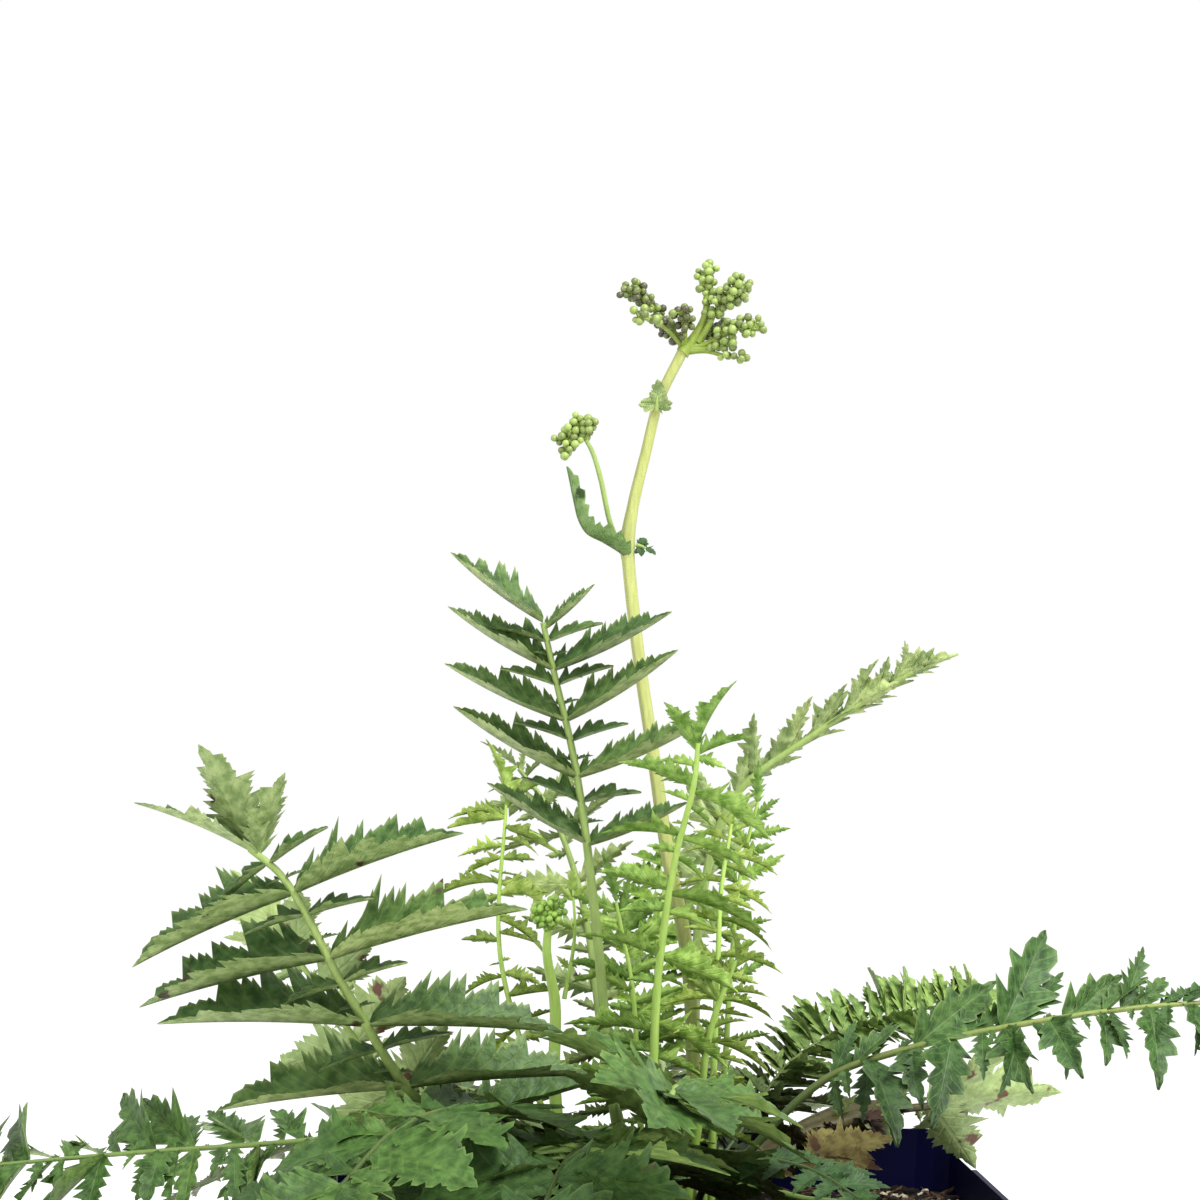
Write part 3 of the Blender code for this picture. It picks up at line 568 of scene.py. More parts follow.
def leafTree():
    tree, given = newTree(
        "pinnateLeaf",
        Float="Bare, Leaflet, Terminal, Spread, Lean, Lean Low, Twist, Droop, Small, Closing, Cup, Wander, "
              "Tip Spread, Tip Lean, Tip Twist, Stalk, Main Scale, Small Scale, Tip Scale",
        Vector="Facing, Open, Tip Sides", Int="Pairs, Seed", Material="Blade, Rachis",
        Collection="Main Leaflets, Small Leaflets, Tip Leaflets",
    )
    line = add(tree, "MeshToCurve", [given["Geometry"]])
    whole = add(tree, "CurveLength", [line])
    index = add(tree, "InputIndex")
    number = add(tree, "Math.FLOOR", [("Math.MULTIPLY", index, 0.5)])
    odd = add(tree, "Math.MODULO", [index, 2.0])
    side = add(tree, "Math.MULTIPLY_ADD", [odd, -2.0, 1.0])
    first = add(tree, "Math.MULTIPLY", [whole, given["Bare"]])
    tipRoom = 1.6 * mm
    end = add(tree, "Math.SUBTRACT", [whole, tipRoom])

    def footAt(pair):
        left = add(tree, "Math.SUBTRACT", [1.0, ("Math.DIVIDE", pair, given["Pairs"])])
        done = add(tree, "Math.SUBTRACT", [1.0, ("Math.POWER", left, 1.25)])
        return add(tree, "Math.MULTIPLY_ADD", [done, ("Math.SUBTRACT", end, first), first])

    # The lean of the lower pairs can differ from that of the upper ones.
    share = add(tree, "Math.DIVIDE", [number, ("Math.SUBTRACT", given["Pairs"], 1.0)], use_clamp=True)
    lowness = add(tree, "MapRange", [share, 0.45, 0.75, 1.0, 0.0], interpolation_type="SMOOTHSTEP")
    tilt = add(tree, "Math.MULTIPLY_ADD", [lowness, given["Lean Low"], given["Lean"]])
    # Pairs near the tip may close towards the rachis.
    closing = add(tree, "Math.MULTIPLY", [share, given["Closing"]])
    closed = add(tree, "Math.MULTIPLY", [given["Spread"], ("Math.SUBTRACT", 1.0, closing)])
    lean = add(tree, "Math.MULTIPLY_ADD", [side, tilt, closed])
    # Leaflets swell towards the middle of the leaf.
    progress = add(tree, "Math.DIVIDE", [("Math.ADD", number, 0.6), ("Math.ADD", given["Pairs"], 0.6)])
    swell = add(tree, "Math.SINE", [("Math.MULTIPLY", progress, math.pi)])
    mainScale = add(tree, "Math.MULTIPLY", [given["Leaflet"], given["Main Scale"]])
    main = leafletRow(tree, given, line, dict(
        count=add(tree, "Math.MULTIPLY", [given["Pairs"], 2.0]), distance=footAt(number),
        side=side, spread=lean, twist=given["Twist"], leaflets=given["Main Leaflets"], seed=1, vary=0.09,
        length=add(tree, "Math.MULTIPLY", [mainScale, ("Math.MULTIPLY_ADD", swell, 0.28, 0.72)]),
    ))
    # Two small pairs stand between each two large ones: a tiny pair, then one of middle size.
    later = add(tree, "Math.MODULO", [number, 2.0])
    gap = add(tree, "Math.ADD", [
        ("Math.FLOOR", ("Math.MULTIPLY", number, 0.5)),
        ("Math.MULTIPLY_ADD", later, 0.36, 0.3),
    ])
    small = leafletRow(tree, given, line, dict(
        count=add(tree, "Math.MULTIPLY", [given["Pairs"], 4.0]), distance=footAt(gap),
        side=side, spread=lean, twist=given["Twist"], leaflets=given["Small Leaflets"], seed=21,
        vary=0.14,
        length=add(tree, "Math.MULTIPLY", [
            ("Math.MULTIPLY", given["Leaflet"], given["Small Scale"]),
            ("Math.MULTIPLY", given["Small"], ("Math.MULTIPLY_ADD", later, 0.9, 0.4)),
        ]),
    ))
    forward = add(tree, "Math.GREATER_THAN", [index, 1.5])
    beside = add(tree, "Math.SUBTRACT", [1.0, forward])
    # Of the three at the tip, the two beside the middle one have their own lengths.
    sideLengths = add(tree, "SeparateXYZ", [given["Tip Sides"]]).node.outputs
    onMinus = add(tree, "Math.COMPARE", [side, -1.0, 0.1])
    besideLength = add(tree, "Mix", {0: onMinus, 2: sideLengths["X"], 3: sideLengths["Y"]})
    shareOfTip = add(tree, "Mix", {0: beside, 2: 1.0, 3: besideLength})
    tip = leafletRow(tree, given, line, dict(
        count=3, side=side, leaflets=given["Tip Leaflets"], seed=41, vary=0.06,
        distance=add(tree, "Math.MULTIPLY_ADD", [beside, -tipRoom, whole]),
        spread=add(tree, "Math.MULTIPLY_ADD", [
            beside, given["Tip Spread"], ("Math.MULTIPLY", side, given["Tip Lean"]),
        ]),
        twist=given["Tip Twist"],
        length=add(tree, "Math.MULTIPLY", [
            ("Math.MULTIPLY", given["Terminal"], given["Tip Scale"]), shareOfTip,
        ]),
    ))
    taper = add(tree, "Math.MULTIPLY_ADD", [add(tree, "SplineParameter"), -0.55, 1.0])
    girth = add(tree, "Math.MULTIPLY", [("Math.MULTIPLY", given["Stalk"], 0.5), taper])
    profile = add(tree, "CurvePrimitiveCircle", {"Resolution": 9, "Radius": 1.0})
    tube = add(tree, "CurveToMesh",
               {"Curve": line, "Profile Curve": profile, "Scale": girth, "Fill Caps": True})
    marked = add(tree, "StoreNamedAttribute", {"Geometry": tube, "Name": "rachis", "Value": 1.0},
                 data_type="FLOAT", domain="FACE")
    joined = add(tree, "JoinGeometry", [[marked, main, small, tip]])
    plain = add(tree, "RealizeInstances", [joined])
    blades = add(tree, "SetMaterial", {"Geometry": plain, "Material": given["Blade"]})
    onRachis = add(tree, "Math.GREATER_THAN", [
        add(tree, "InputNamedAttribute", {"Name": "rachis"}, data_type="FLOAT"), 0.5,
    ])
    closeTree(tree, add(tree, "SetMaterial", {
        "Geometry": blades, "Selection": onRachis, "Material": given["Rachis"],
    }))
    return tree


pinnateLeaf = leafTree()
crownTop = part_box("crown")[1].z / mm + 0.3

frontLeaf = dict(
    pairs=5, facing=(0, 0, 1), spread=72, twist=10, kind="blunt", blade="leafBlueGreen", rachis="stalkDeep",
    small=0.4, wander=1.4, stalk=1.6,
)
backLeaf = dict(pairs=6, bare=0.3, facing=(0, 0, 1), spread=72, twist=10, kind="broad")
leaves = {
    "tall_leaf": dict(
        start=(-4, -6),
        via=[(-7, -11, 150), (-9.5, -14, 178), (-13, -19, 205), (-17, -24.5, 223), (-18.4, -26, 229.5)],
        pairs=4, bare=0.62, leaflet=25, terminal=20, facing=(0, 1, 0.2), spread=68, lean=-12, twist=95,
        small=0.34, stalk=2.3, open=(0, -0.5, 0.5), tipSides=(0, 0.6), tipSpread=118, tipLean=46, wander=0.6,
        seed=1,
    ),
    "left_leaf": dict(
        start=(-9, -5.5),
        via=[(-22, -20, 137), (-37, -44, 149), (-48, -60, 169), (-57, -66, 186), (-61.5, -68, 190)],
        pairs=5, bare=0.4, leaflet=32, terminal=19, facing=(-0.1, 0.9, 0.4), spread=86, lean=-9,
        leanLow=-24, twist=85, kind="long", small=0.26, stalk=2.4, open=(0, -0.8, 2.2), tipKind="broad",
        tipSides=(1.1, 0.78), tipSpread=35, tipLean=-28, tipTwist=20, wander=0.4, seed=2,
    ),
    "right_leaf": dict(
        start=(5, 8.5), via=[(8, 12, 150), (10, 15, 181), (16, 15, 200), (31, 14, 212), (50, 10, 224)],
        pairs=9, bare=0.36, leaflet=11.5, terminal=9, facing=(0.2, 0.5, 0.9), spread=62, lean=8, twist=20,
        kind="narrow", rachis="stalkRibbed", small=0.7, cup=32, closing=0.72, wander=2.2, stalk=2.3, seed=3,
    ),
    "bright_leaf": dict(
        start=(1, -9),
        via=[(0.6, -14, 146), (1.4, -18, 167), (4.6, -25, 189), (7.6, -31, 201), (8.4, -34, 208)],
        pairs=6, bare=0.24, leaflet=16, terminal=15, facing=(0, 1, 0.2), spread=86, lean=-12, twist=34,
        kind="keen", blade="leafFresh", small=0.34, droop=0.1, wander=2, seed=4,
    ),
    "slender_left_leaf": dict(
        start=(-10, 3.5), via=[(-18, 3, 140), (-23, 5, 153), (-28, 9, 172), (-27, 11, 199)],
        pairs=7, bare=0.2, leaflet=12, terminal=12, facing=(0.2, 1, 0.2), spread=82, twist=60,
        kind="slender", blade="leafYoung", small=0.56, droop=0.3, wander=3, stalk=1.4, seed=5,
    ),
    "slender_right_leaf": dict(
        start=(11, -5), via=[(11.4, -6.5, 150), (12.4, -5.6, 172), (13, -5, 183), (15, -4, 195)],
        pairs=8, bare=0.2, leaflet=11.5, terminal=8, facing=(-0.1, 1, 0.2), spread=84, lean=-8, twist=75,
        kind="slender", blade="leafYoung", small=0.4, wander=1.4, stalk=1.6, seed=6,
    ),
    "shaded_leaf": dict(
        start=(-3, 7), via=[(-8, 11, 150), (-13, 15, 182), (-19, 17, 198), (-25, 17, 206)],
        pairs=7, bare=0.2, leaflet=14, terminal=10, facing=(0, 1, 0.3), spread=65, twist=30,
        kind="sharp", droop=0.2, wander=2.4, seed=7,
    ),
    "left_trailing_leaf": dict(
        start=(-12.8, -1.5),
        via=[(-24, -4, 137), (-39, -7, 141), (-62, -10, 139), (-93, -12, 137), (-128, -14, 134)],
        pairs=11, bare=0.34, leaflet=13, terminal=11, facing=(0, -0.6, 0.8), spread=72, twist=15,
        kind="sharp", blade="leafGreyGreen", small=0.9, droop=0.35, wander=4, stalk=1.4, seed=8,
    ),
    "right_trailing_leaf": dict(
        start=(12.8, -2.2),
        via=[(20, -4, 139), (32, -6, 150), (45, -9, 155), (62, -11, 159), (90, -12, 163), (121, -12, 164)],
        pairs=12, bare=0.26, leaflet=14, terminal=12, facing=(0, -0.7, 0.7), spread=70, lean=22, twist=15,
        kind="sharp", blade="leafTrailing", rachis="stalkDeep", small=0.9, droop=0.3, cup=16, wander=3,
        stalk=1.6, seed=9,
    ),
    "right_back_leaf": dict(
        start=(10.5, 7), via=[(17, 15, 138), (30, 35, 151), (46, 45, 157), (68, 52, 160)],
        pairs=22, bare=0.08, leaflet=10.5, terminal=8, facing=(0, -0.6, 0.8), spread=70, twist=30,
        kind="shingle", blade="leafLayered", rachis="stalkDeep", small=0.8, cup=12, wander=2, stalk=1.0,
        seed=10,
    ),
    "old_pale_leaf": dict(
        start=(13, 3.5), via=[(28, 18, 137), (43, 28, 140), (56, 34, 141)],
        pairs=2, bare=0.6, leaflet=9, terminal=27, facing=(0, 0.8, 0.6), spread=70, twist=10,
        kind="broad", blade="leafPale", rachis="stalkWithered", stalk=3.2, seed=11,
    ),
    "front_left_leaf": dict(
        frontLeaf, start=(-5.5, -11),
        via=[(-15, -30, 140), (-28, -52, 149), (-38, -70, 148), (-45, -84, 141)],
        bare=0.18, leaflet=21, terminal=20, seed=12,
    ),
    "front_right_leaf": dict(
        start=(8.5, -9.5), via=[(14, -22, 136), (20, -35, 139), (27, -47, 138.5), (32.5, -57, 136)],
        pairs=7, bare=0.1, leaflet=9, terminal=6, facing=(0, -0.3, 1), spread=62, twist=15,
        kind="broad", blade="leafShaded", rachis="stalkDeep", small=0.4, wander=2, stalk=1.4, seed=13,
    ),
    "front_leaf": dict(
        start=(2.5, -12.5), via=[(4, -30, 138), (5, -50, 149), (4, -68, 154), (3, -82, 154)],
        pairs=4, bare=0.14, leaflet=25, terminal=20, facing=(0.3, 0, 0.9), spread=92, lean=-20, twist=10,
        kind="blunt", blade="leafBlueGreen", cup=10, seed=14,
    ),
    "front_low_leaf": dict(
        frontLeaf, start=(-7.8, -9),
        via=[(-18, -27, 133), (-33, -47, 138), (-47, -61, 138), (-59, -71, 132)],
        bare=0.18, leaflet=20, terminal=19, facing=(0, -0.3, 1), seed=25,
    ),
    "front_middle_leaf": dict(
        frontLeaf, start=(-1.5, -13),
        via=[(-4, -34, 138), (-9, -56, 144), (-13, -73, 143), (-16, -87, 137)],
        bare=0.12, leaflet=24, terminal=19, spread=80, lean=-10, small=0.5, wander=1.2, seed=26,
    ),
    "left_pale_leaf": dict(
        start=(-12.5, -5), via=[(-28, -14, 137), (-46, -20, 152), (-62, -24, 173)],
        pairs=4, bare=0.4, leaflet=19, terminal=17, facing=(0.2, 0.8, 0.5), spread=78, twist=20,
        kind="broad", blade="leafPale", seed=15,
    ),
    "right_front_leaf": dict(
        start=(12.2, -7.5), via=[(28, -24, 131), (48, -40, 131), (66, -50, 131.5), (80, -58, 126)],
        pairs=6, bare=0.3, leaflet=7, terminal=8, facing=(0, 0, 1), spread=52, twist=20, small=0.4,
        kind="narrow", blade="leafShaded", closing=0.4, stalk=1.5, seed=16,
    ),
    "withered_leaf": dict(
        start=(13.6, 0.5), via=[(20, 2, 132), (31, 5, 135)],
        pairs=2, bare=0.55, leaflet=5, terminal=15, facing=(0, -0.5, 1), spread=50, twist=0, kind="broad",
        blade="leafWithered", rachis="stalkWithered", seed=17,
    ),
    "back_leaf": dict(
        backLeaf, start=(1, 13), via=[(2, 30, 137), (3, 55, 145), (2, 80, 145), (0, 104, 137)],
        leaflet=17, terminal=14, seed=18,
    ),
    "back_left_leaf": dict(
        backLeaf, start=(-6.5, 11), via=[(-20, 28, 136), (-36, 48, 142), (-50, 66, 140), (-62, 84, 132)],
        leaflet=15, terminal=13, seed=19,
    ),
    "back_right_leaf": dict(
        backLeaf, start=(6, 11.8), via=[(14, 28, 135), (26, 52, 139), (38, 76, 137), (46, 94, 129)],
        bare=0.32, leaflet=14, terminal=12, seed=20,
    ),
    "left_back_leaf": dict(
        backLeaf, start=(-11.5, 7), via=[(-28, 15, 133), (-50, 26, 136), (-72, 36, 132), (-90, 43, 124)],
        bare=0.32, leaflet=13, terminal=12, seed=21,
    ),
    "inner_left_leaf": dict(
        start=(-0.5, -2.5), via=[(-2, -4, 145), (-3, -5, 165), (-6, -6, 181)],
        pairs=7, bare=0.12, leaflet=13, terminal=11, facing=(0, 1, 0.2), spread=70, twist=12,
        kind="sharp", blade="leafFresh", small=0.5, wander=3.2, stalk=1.4, seed=22,
    ),
    "inner_right_leaf": dict(
        start=(6.6, -6.4), via=[(8.5, -10, 142), (10.5, -14, 158), (15, -17, 171)],
        pairs=5, bare=0.15, leaflet=9, terminal=8, facing=(-0.2, 1, 0.2), spread=65, twist=50,
        kind="slender", blade="leafYoung", small=0.5, wander=2.8, seed=23,
    ),
    "inner_back_leaf": dict(
        start=(0.5, 4), via=[(1, 8, 150), (2, 18, 175), (4, 28, 189)],
        pairs=6, bare=0.4, leaflet=12, terminal=9, facing=(0, -0.6, 0.8), spread=65, twist=20,
        kind="narrow", blade="leafYoung", small=0.5, seed=24,
    ),
    "inner_right_back_leaf": dict(
        start=(9.8, -1), via=[(13, -1, 146), (15, 1, 170), (17, 2, 187), (20, 0, 199)],
        pairs=5, bare=0.4, leaflet=9, terminal=8, facing=(0, 1, 0.3), spread=60, twist=20,
        kind="sharp", blade="leafFresh", small=0.4, wander=2.5, stalk=1.4, seed=27,
    ),
}
leafDefaults = dict(
    kind="folded", blade="leafGreen", lean=0, leanLow=0, droop=0, cup=0, open=(0, 0, 0), wander=1, closing=0,
    tipSides=(0.8, 0.8), tipSpread=42, tipLean=0, small=0.32, stalk=2.0,
)


def addLeaf(node, points, shape, name=None):
    shape = leafDefaults | shape
    blade, kind = shape["blade"], shape["kind"]
    rachis = shape.get("rachis", "stalkYoung" if blade in ("leafYoung", "leafFresh") else "stalkRibbed")
    values = {
        "Facing": shape["facing"], "Open": shape["open"], "Tip Sides": (*shape["tipSides"], 0),
        "Pairs": shape["pairs"], "Seed": shape["seed"], "Bare": shape["bare"],
        "Tip Twist": math.radians(shape.get("tipTwist", shape["twist"])),
        "Blade": finishes[blade], "Rachis": finishes[rachis],
    }
    for label in ("Leaflet", "Terminal", "Stalk"):
        values[label] = shape[label.lower()] * mm
    for label in ("Droop", "Wander", "Closing", "Small"):
        values[label] = float(shape[label.lower()])
    for label in ("Spread", "Lean", "Lean Low", "Twist", "Cup", "Tip Spread", "Tip Lean"):
        key = label.replace(" ", "")
        values[label] = math.radians(shape[key[0].lower() + key[1:]])
    for row, own in {"Main": kind, "Small": "tiny", "Tip": shape.get("tipKind", kind)}.items():
        values[f"{row} Leaflets"] = leafletGroups[own]
        values[f"{row} Scale"] = 1 / (leafletShapes[own]["length"] * mm)
    made = grow(name or f"{node}_blades", pathMesh(node, [smoothLine(points)]), pinnateLeaf, values)
    dress(made, [node])


for node, shape in leaves.items():
    base = Vector((*shape["start"], crownTop))
    addLeaf(node, [base, base + Vector((0, 0, 2.5)), *shape["via"]], shape)

smallLeaf = dict(bare=0.3, facing=(0, 1, 0.4), spread=60, twist=10, stalk=0.9, kind="fan", small=0.0)
stemLeaves = {
    "stem_stipule": dict(
        smallLeaf, pairs=2, leaflet=2.3, terminal=2.4, seed=32, facing=(0.2, -1, 0.3), blade="leafShaded",
        via=[(-2.3, 7.8, 248), (-1.3, 7.5, 247.7), (-0.4, 7.2, 247.3)],
    ),
    "stem_bract": dict(
        smallLeaf, pairs=2, leaflet=3.4, terminal=3.4, seed=33, spread=85, facing=(0, 1, -0.2),
        via=[(1.6, 5.5, 273.6), (1.7, 5, 275), (1.8, 4.7, 276.2)],
    ),
    "young_stem_leaf": dict(
        smallLeaf, pairs=2, leaflet=4, terminal=5, seed=34, blade="leafYoung", kind="tiny",
        via=[(-15.4, -4.2, 163.6), (-13.6, -1.5, 175), (-14, 0, 183)],
    ),
}
for node, shape in stemLeaves.items():
    addLeaf(node, shape["via"], shape)
# Dead leaflets still cling to the old pale leaf's stalk.
addLeaf("old_pale_leaf", [(16, 7, 132), (26, 15, 137), (36, 23, 139), (47, 30, 140.6)], dict(
    pairs=5, bare=0.12, leaflet=9, terminal=7, facing=(0, 0.5, 0.8), spread=75, twist=20, wander=5, droop=0.7,
    kind="broad", blade="leafDead", rachis="stalkWithered", small=0.6, stalk=1.2, seed=35,
), "old_dead_blades")


# The stem leaf: one folded blade that leaves the node, bends up and is toothed along one side.

stemLeaf = dict(
    via=[(-4.2, 7.2, 245.6), (-6.2, 5.6, 246.8), (-8.8, 4.4, 248.2), (-11.6, 3.2, 249.6), (-13.1, 2.4, 252),
         (-14, 1.8, 255.6), (-14.8, 1.2, 259.6), (-15.3, 1, 262)],
    widths=[2.2, 4.0, 4.8, 4.0, 3.2, 3.4, 2.4, 0.2], teeth=9, depth=0.36, inward=(0.55, -0.25, 0.8),
    back=0.62, thick=0.24, steps=8,
)


def stemLeafMesh(name, shape):
    line = smoothLine(shape["via"], shape["steps"])
    last = len(line) - 1
    points, charts, faces, under = [], [], [], []
    for i, here in enumerate(line):
        u = i / last
        tangent = directionAt(line, i)
        inward = Vector(shape["inward"])
        inward = (inward - inward.dot(tangent) * tangent).normalized()
        front = tangent.cross(inward)
        front = front if front.y < 0 else -front
        k, share = divmod(u * (len(shape["widths"]) - 1), 1)
        k = min(int(k), len(shape["widths"]) - 2)
        width = shape["widths"][k] + (shape["widths"][k + 1] - shape["widths"][k]) * (share if u < 1 else 1)
        tooth = 1 - shape["depth"] * (1 - (u * shape["teeth"]) % 1)
        points += [
            (here - 0.5 * shape["thick"] * inward) * mm, (here + 0.5 * shape["thick"] * inward) * mm,
            (here + width * tooth * (0.34 * front + 0.94 * inward)) * mm,
            (here + width * shape["back"] * (1.6 - tooth) * (0.87 * inward - 0.5 * front)) * mm,
        ]
        charts += [(u, 0), (u, 0), (u, 1), (u, -1)]
    for i in range(last):
        a, b = 4 * i, 4 * (i + 1)
        for rib, edge in ((0, 2), (3, 0), (2, 1), (1, 3)):
            faces.append((a + rib, a + edge, b + edge, b + rib))
            under.append(float(0 in (rib, edge)))
    for a in (0, 4 * last):
        faces.append((a, a + 2, a + 1, a + 3))
        under.append(1.0)
    mesh = bpy.data.meshes.new(name)
    mesh.from_pydata(points, [], faces)
    return finishBlade(mesh, under, charts)


blade = stand("stem_leaf_blade", stemLeafMesh("stem_leaf_blade", stemLeaf))
blade.data.materials.append(finishes["leafStem"])
dress(blade, ["stem_leaf"])
sayStage("leaves")


# Stems: a ribbed tube along each line, as thick as its girth at every point.

def stemTree():
    tree, given = newTree("ribbedStem", Float="Ribs, Rib Depth", Material="Finish")
    around = add(tree, "Math.MULTIPLY", [given["Ribs"], 2 * math.pi])
    turn = add(tree, "Math.MULTIPLY", [add(tree, "SplineParameter"), around])
    swell = add(tree, "Math.MULTIPLY_ADD", [("Math.COSINE", turn), given["Rib Depth"], 1.0])
    circle = add(tree, "CurvePrimitiveCircle", {"Resolution": 28, "Radius": 1.0})
    spot = add(tree, "VectorMath.SCALE", {0: add(tree, "InputPosition"), 3: swell})
    ribbed = add(tree, "SetPosition", {"Geometry": circle, "Position": spot})
    girth = add(tree, "InputNamedAttribute", {"Name": "girth"}, data_type="FLOAT")
    tube = add(tree, "CurveToMesh", {
        "Curve": add(tree, "MeshToCurve", [given["Geometry"]]), "Profile Curve": ribbed,
        "Scale": girth, "Fill Caps": True,
    })
    plain = add(tree, "RealizeInstances", [tube])
    closeTree(tree, add(tree, "SetMaterial", {"Geometry": plain, "Material": given["Finish"]}))
    return tree


ribbedStem = stemTree()
stems = {
    "flower_stem": dict(
        via=[(7, 1.5, 126.3), (8, 2.5, 150), (7, 3, 171), (3.4, 4, 190), (1, 5, 207), (-2, 7, 228),
             (-3.8, 8, 245), (-4, 8, 247.8), (-3, 8, 255), (-0.4, 8, 266), (2.2, 7, 276), (6.6, 6, 285)],
        radii=[1.35, 1.31, 1.27, 1.23, 1.19, 1.15, 1.2, 1.45, 1.1, 1.0, 0.95, 1.0], finish="stemRibbed",
        ribs=5.0, depth=0.07,
    ),
    "side_stalk": dict(
        via=[(-6.2, 6.6, 249), (-7.4, 4.5, 252.5), (-9, 2.4, 260), (-10.6, 1, 265), (-11.7, 0.2, 266.9)],
        radii=[0.6, 0.5, 0.5, 0.45, 0.4], finish="stalkRibbed", ribs=4.0, depth=0.06,
    ),
    "young_stem": dict(
        via=[(-8, -0.5, 126.3), (-8.3, -0.6, 128.5), (-15, -4, 136), (-17, -5, 148), (-17, -5, 163),
             (-18.4, -7, 172), (-18.2, -7.6, 176)],
        radii=[1.2, 1.2, 1.15, 1.1, 1.0, 0.8, 0.7], finish="stalkYoung", ribs=5.0, depth=0.06,
    ),
    "old_sheath": dict(
        node="old_pale_leaf", finish="stalkWithered", ribs=3.0, depth=0.22,
        via=[(13, 3.5, 127.5), (20, 10, 134), (28, 18, 137.4), (36, 24, 139), (43, 28, 140.4),
             (50, 31.5, 141)],
        radii=[1.6, 2.2, 1.5, 2.5, 1.9, 0.9],
    ),
}
for name, shape in stems.items():
    steps = 8
    line = smoothLine(shape["via"], steps)
    girths = []
    for i in range(len(line)):
        k, rest = divmod(i, steps)
        following = shape["radii"][min(k + 1, len(shape["radii"]) - 1)]
        girths.append((shape["radii"][k] + (following - shape["radii"][k]) * rest / steps) * mm)
    made = grow(f"{name}_ribbed", pathMesh(name, [line], {"girth": girths}), ribbedStem, {
        "Ribs": shape["ribs"], "Rib Depth": shape["depth"], "Finish": finishes[shape["finish"]],
    })
    made.data.shade_smooth()
    dress(made, [shape.get("node", name)])
sayStage("stems")


# Flower heads: rays that fork into short stalks, with a round closed bud on each.

def budMesh(name, seed):
    draw = random.Random(seed)
    bm = bmesh.new()
    bmesh.ops.create_uvsphere(bm, u_segments=10, v_segments=7, radius=1.0)
    for vert in bm.verts:
        angle = math.atan2(vert.co.y, vert.co.x)
        groove = 1 - 0.07 * max(0.0, math.cos(5 * angle)) * (1 - vert.co.z ** 2)
        vert.co.x *= groove
        vert.co.y *= groove
        vert.co *= draw.uniform(0.97, 1.03) * mm
        vert.co.z *= 0.92
    for face in bm.faces:
        face.smooth = True
    return meshFrom(name, bm)


budGroup = helperGroup("buds", [budMesh(f"bud{n}", 50 + n) for n in range(3)])


def headTree():
    tree, given = newTree(
        "flowerHead", Float="Bud Radius", Int="Seed", Collection="Buds", Material="Bud, Ray",
    )
    girth = add(tree, "InputNamedAttribute", {"Name": "girth"}, data_type="FLOAT")
    rays = add(tree, "CurveToMesh", {
        "Curve": add(tree, "MeshToCurve", [given["Geometry"]]), "Scale": girth, "Fill Caps": True,
        "Profile Curve": add(tree, "CurvePrimitiveCircle", {"Resolution": 6, "Radius": 1.0}),
    })
    budded = add(tree, "Math.GREATER_THAN", [
        add(tree, "InputNamedAttribute", {"Name": "bud"}, data_type="FLOAT"), 0.5,
    ])
    chance = add(tree, "RandomValue", {2: 0.82, 3: 1.12, "Seed": given["Seed"]}, out=1)
    size = add(tree, "Math.MULTIPLY", [given["Bud Radius"], chance])
    turn = add(tree, "RandomValue", {0: (0, 0, 0), 1: (6.3, 6.3, 6.3), "Seed": given["Seed"]},
               data_type="FLOAT_VECTOR")
    pick = add(tree, "RandomValue", {4: 0, 5: 2, "Seed": given["Seed"]}, out=2, data_type="INT")
    buds = add(tree, "InstanceOnPoints", {
        "Points": add(tree, "MeshToPoints", {"Mesh": given["Geometry"]}), "Selection": budded,
        "Instance": add(tree, "CollectionInfo", [given["Buds"], True, True]),
        "Pick Instance": True, "Instance Index": pick, "Rotation": turn, "Scale": size,
    })
    marked = add(tree, "StoreNamedAttribute", {"Geometry": rays, "Name": "ray", "Value": 1.0},
                 data_type="FLOAT", domain="FACE")
    plain = add(tree, "RealizeInstances", [add(tree, "JoinGeometry", [[marked, buds]])])
    onRay = add(tree, "Math.GREATER_THAN", [
        add(tree, "InputNamedAttribute", {"Name": "ray"}, data_type="FLOAT"), 0.5,
    ])
    closeTree(tree, add(tree, "SetMaterial", {
        "Geometry": add(tree, "SetMaterial", {"Geometry": plain, "Material": given["Bud"]}),
        "Selection": onRay, "Material": given["Ray"],
    }))
    return tree


flowerHead = headTree()
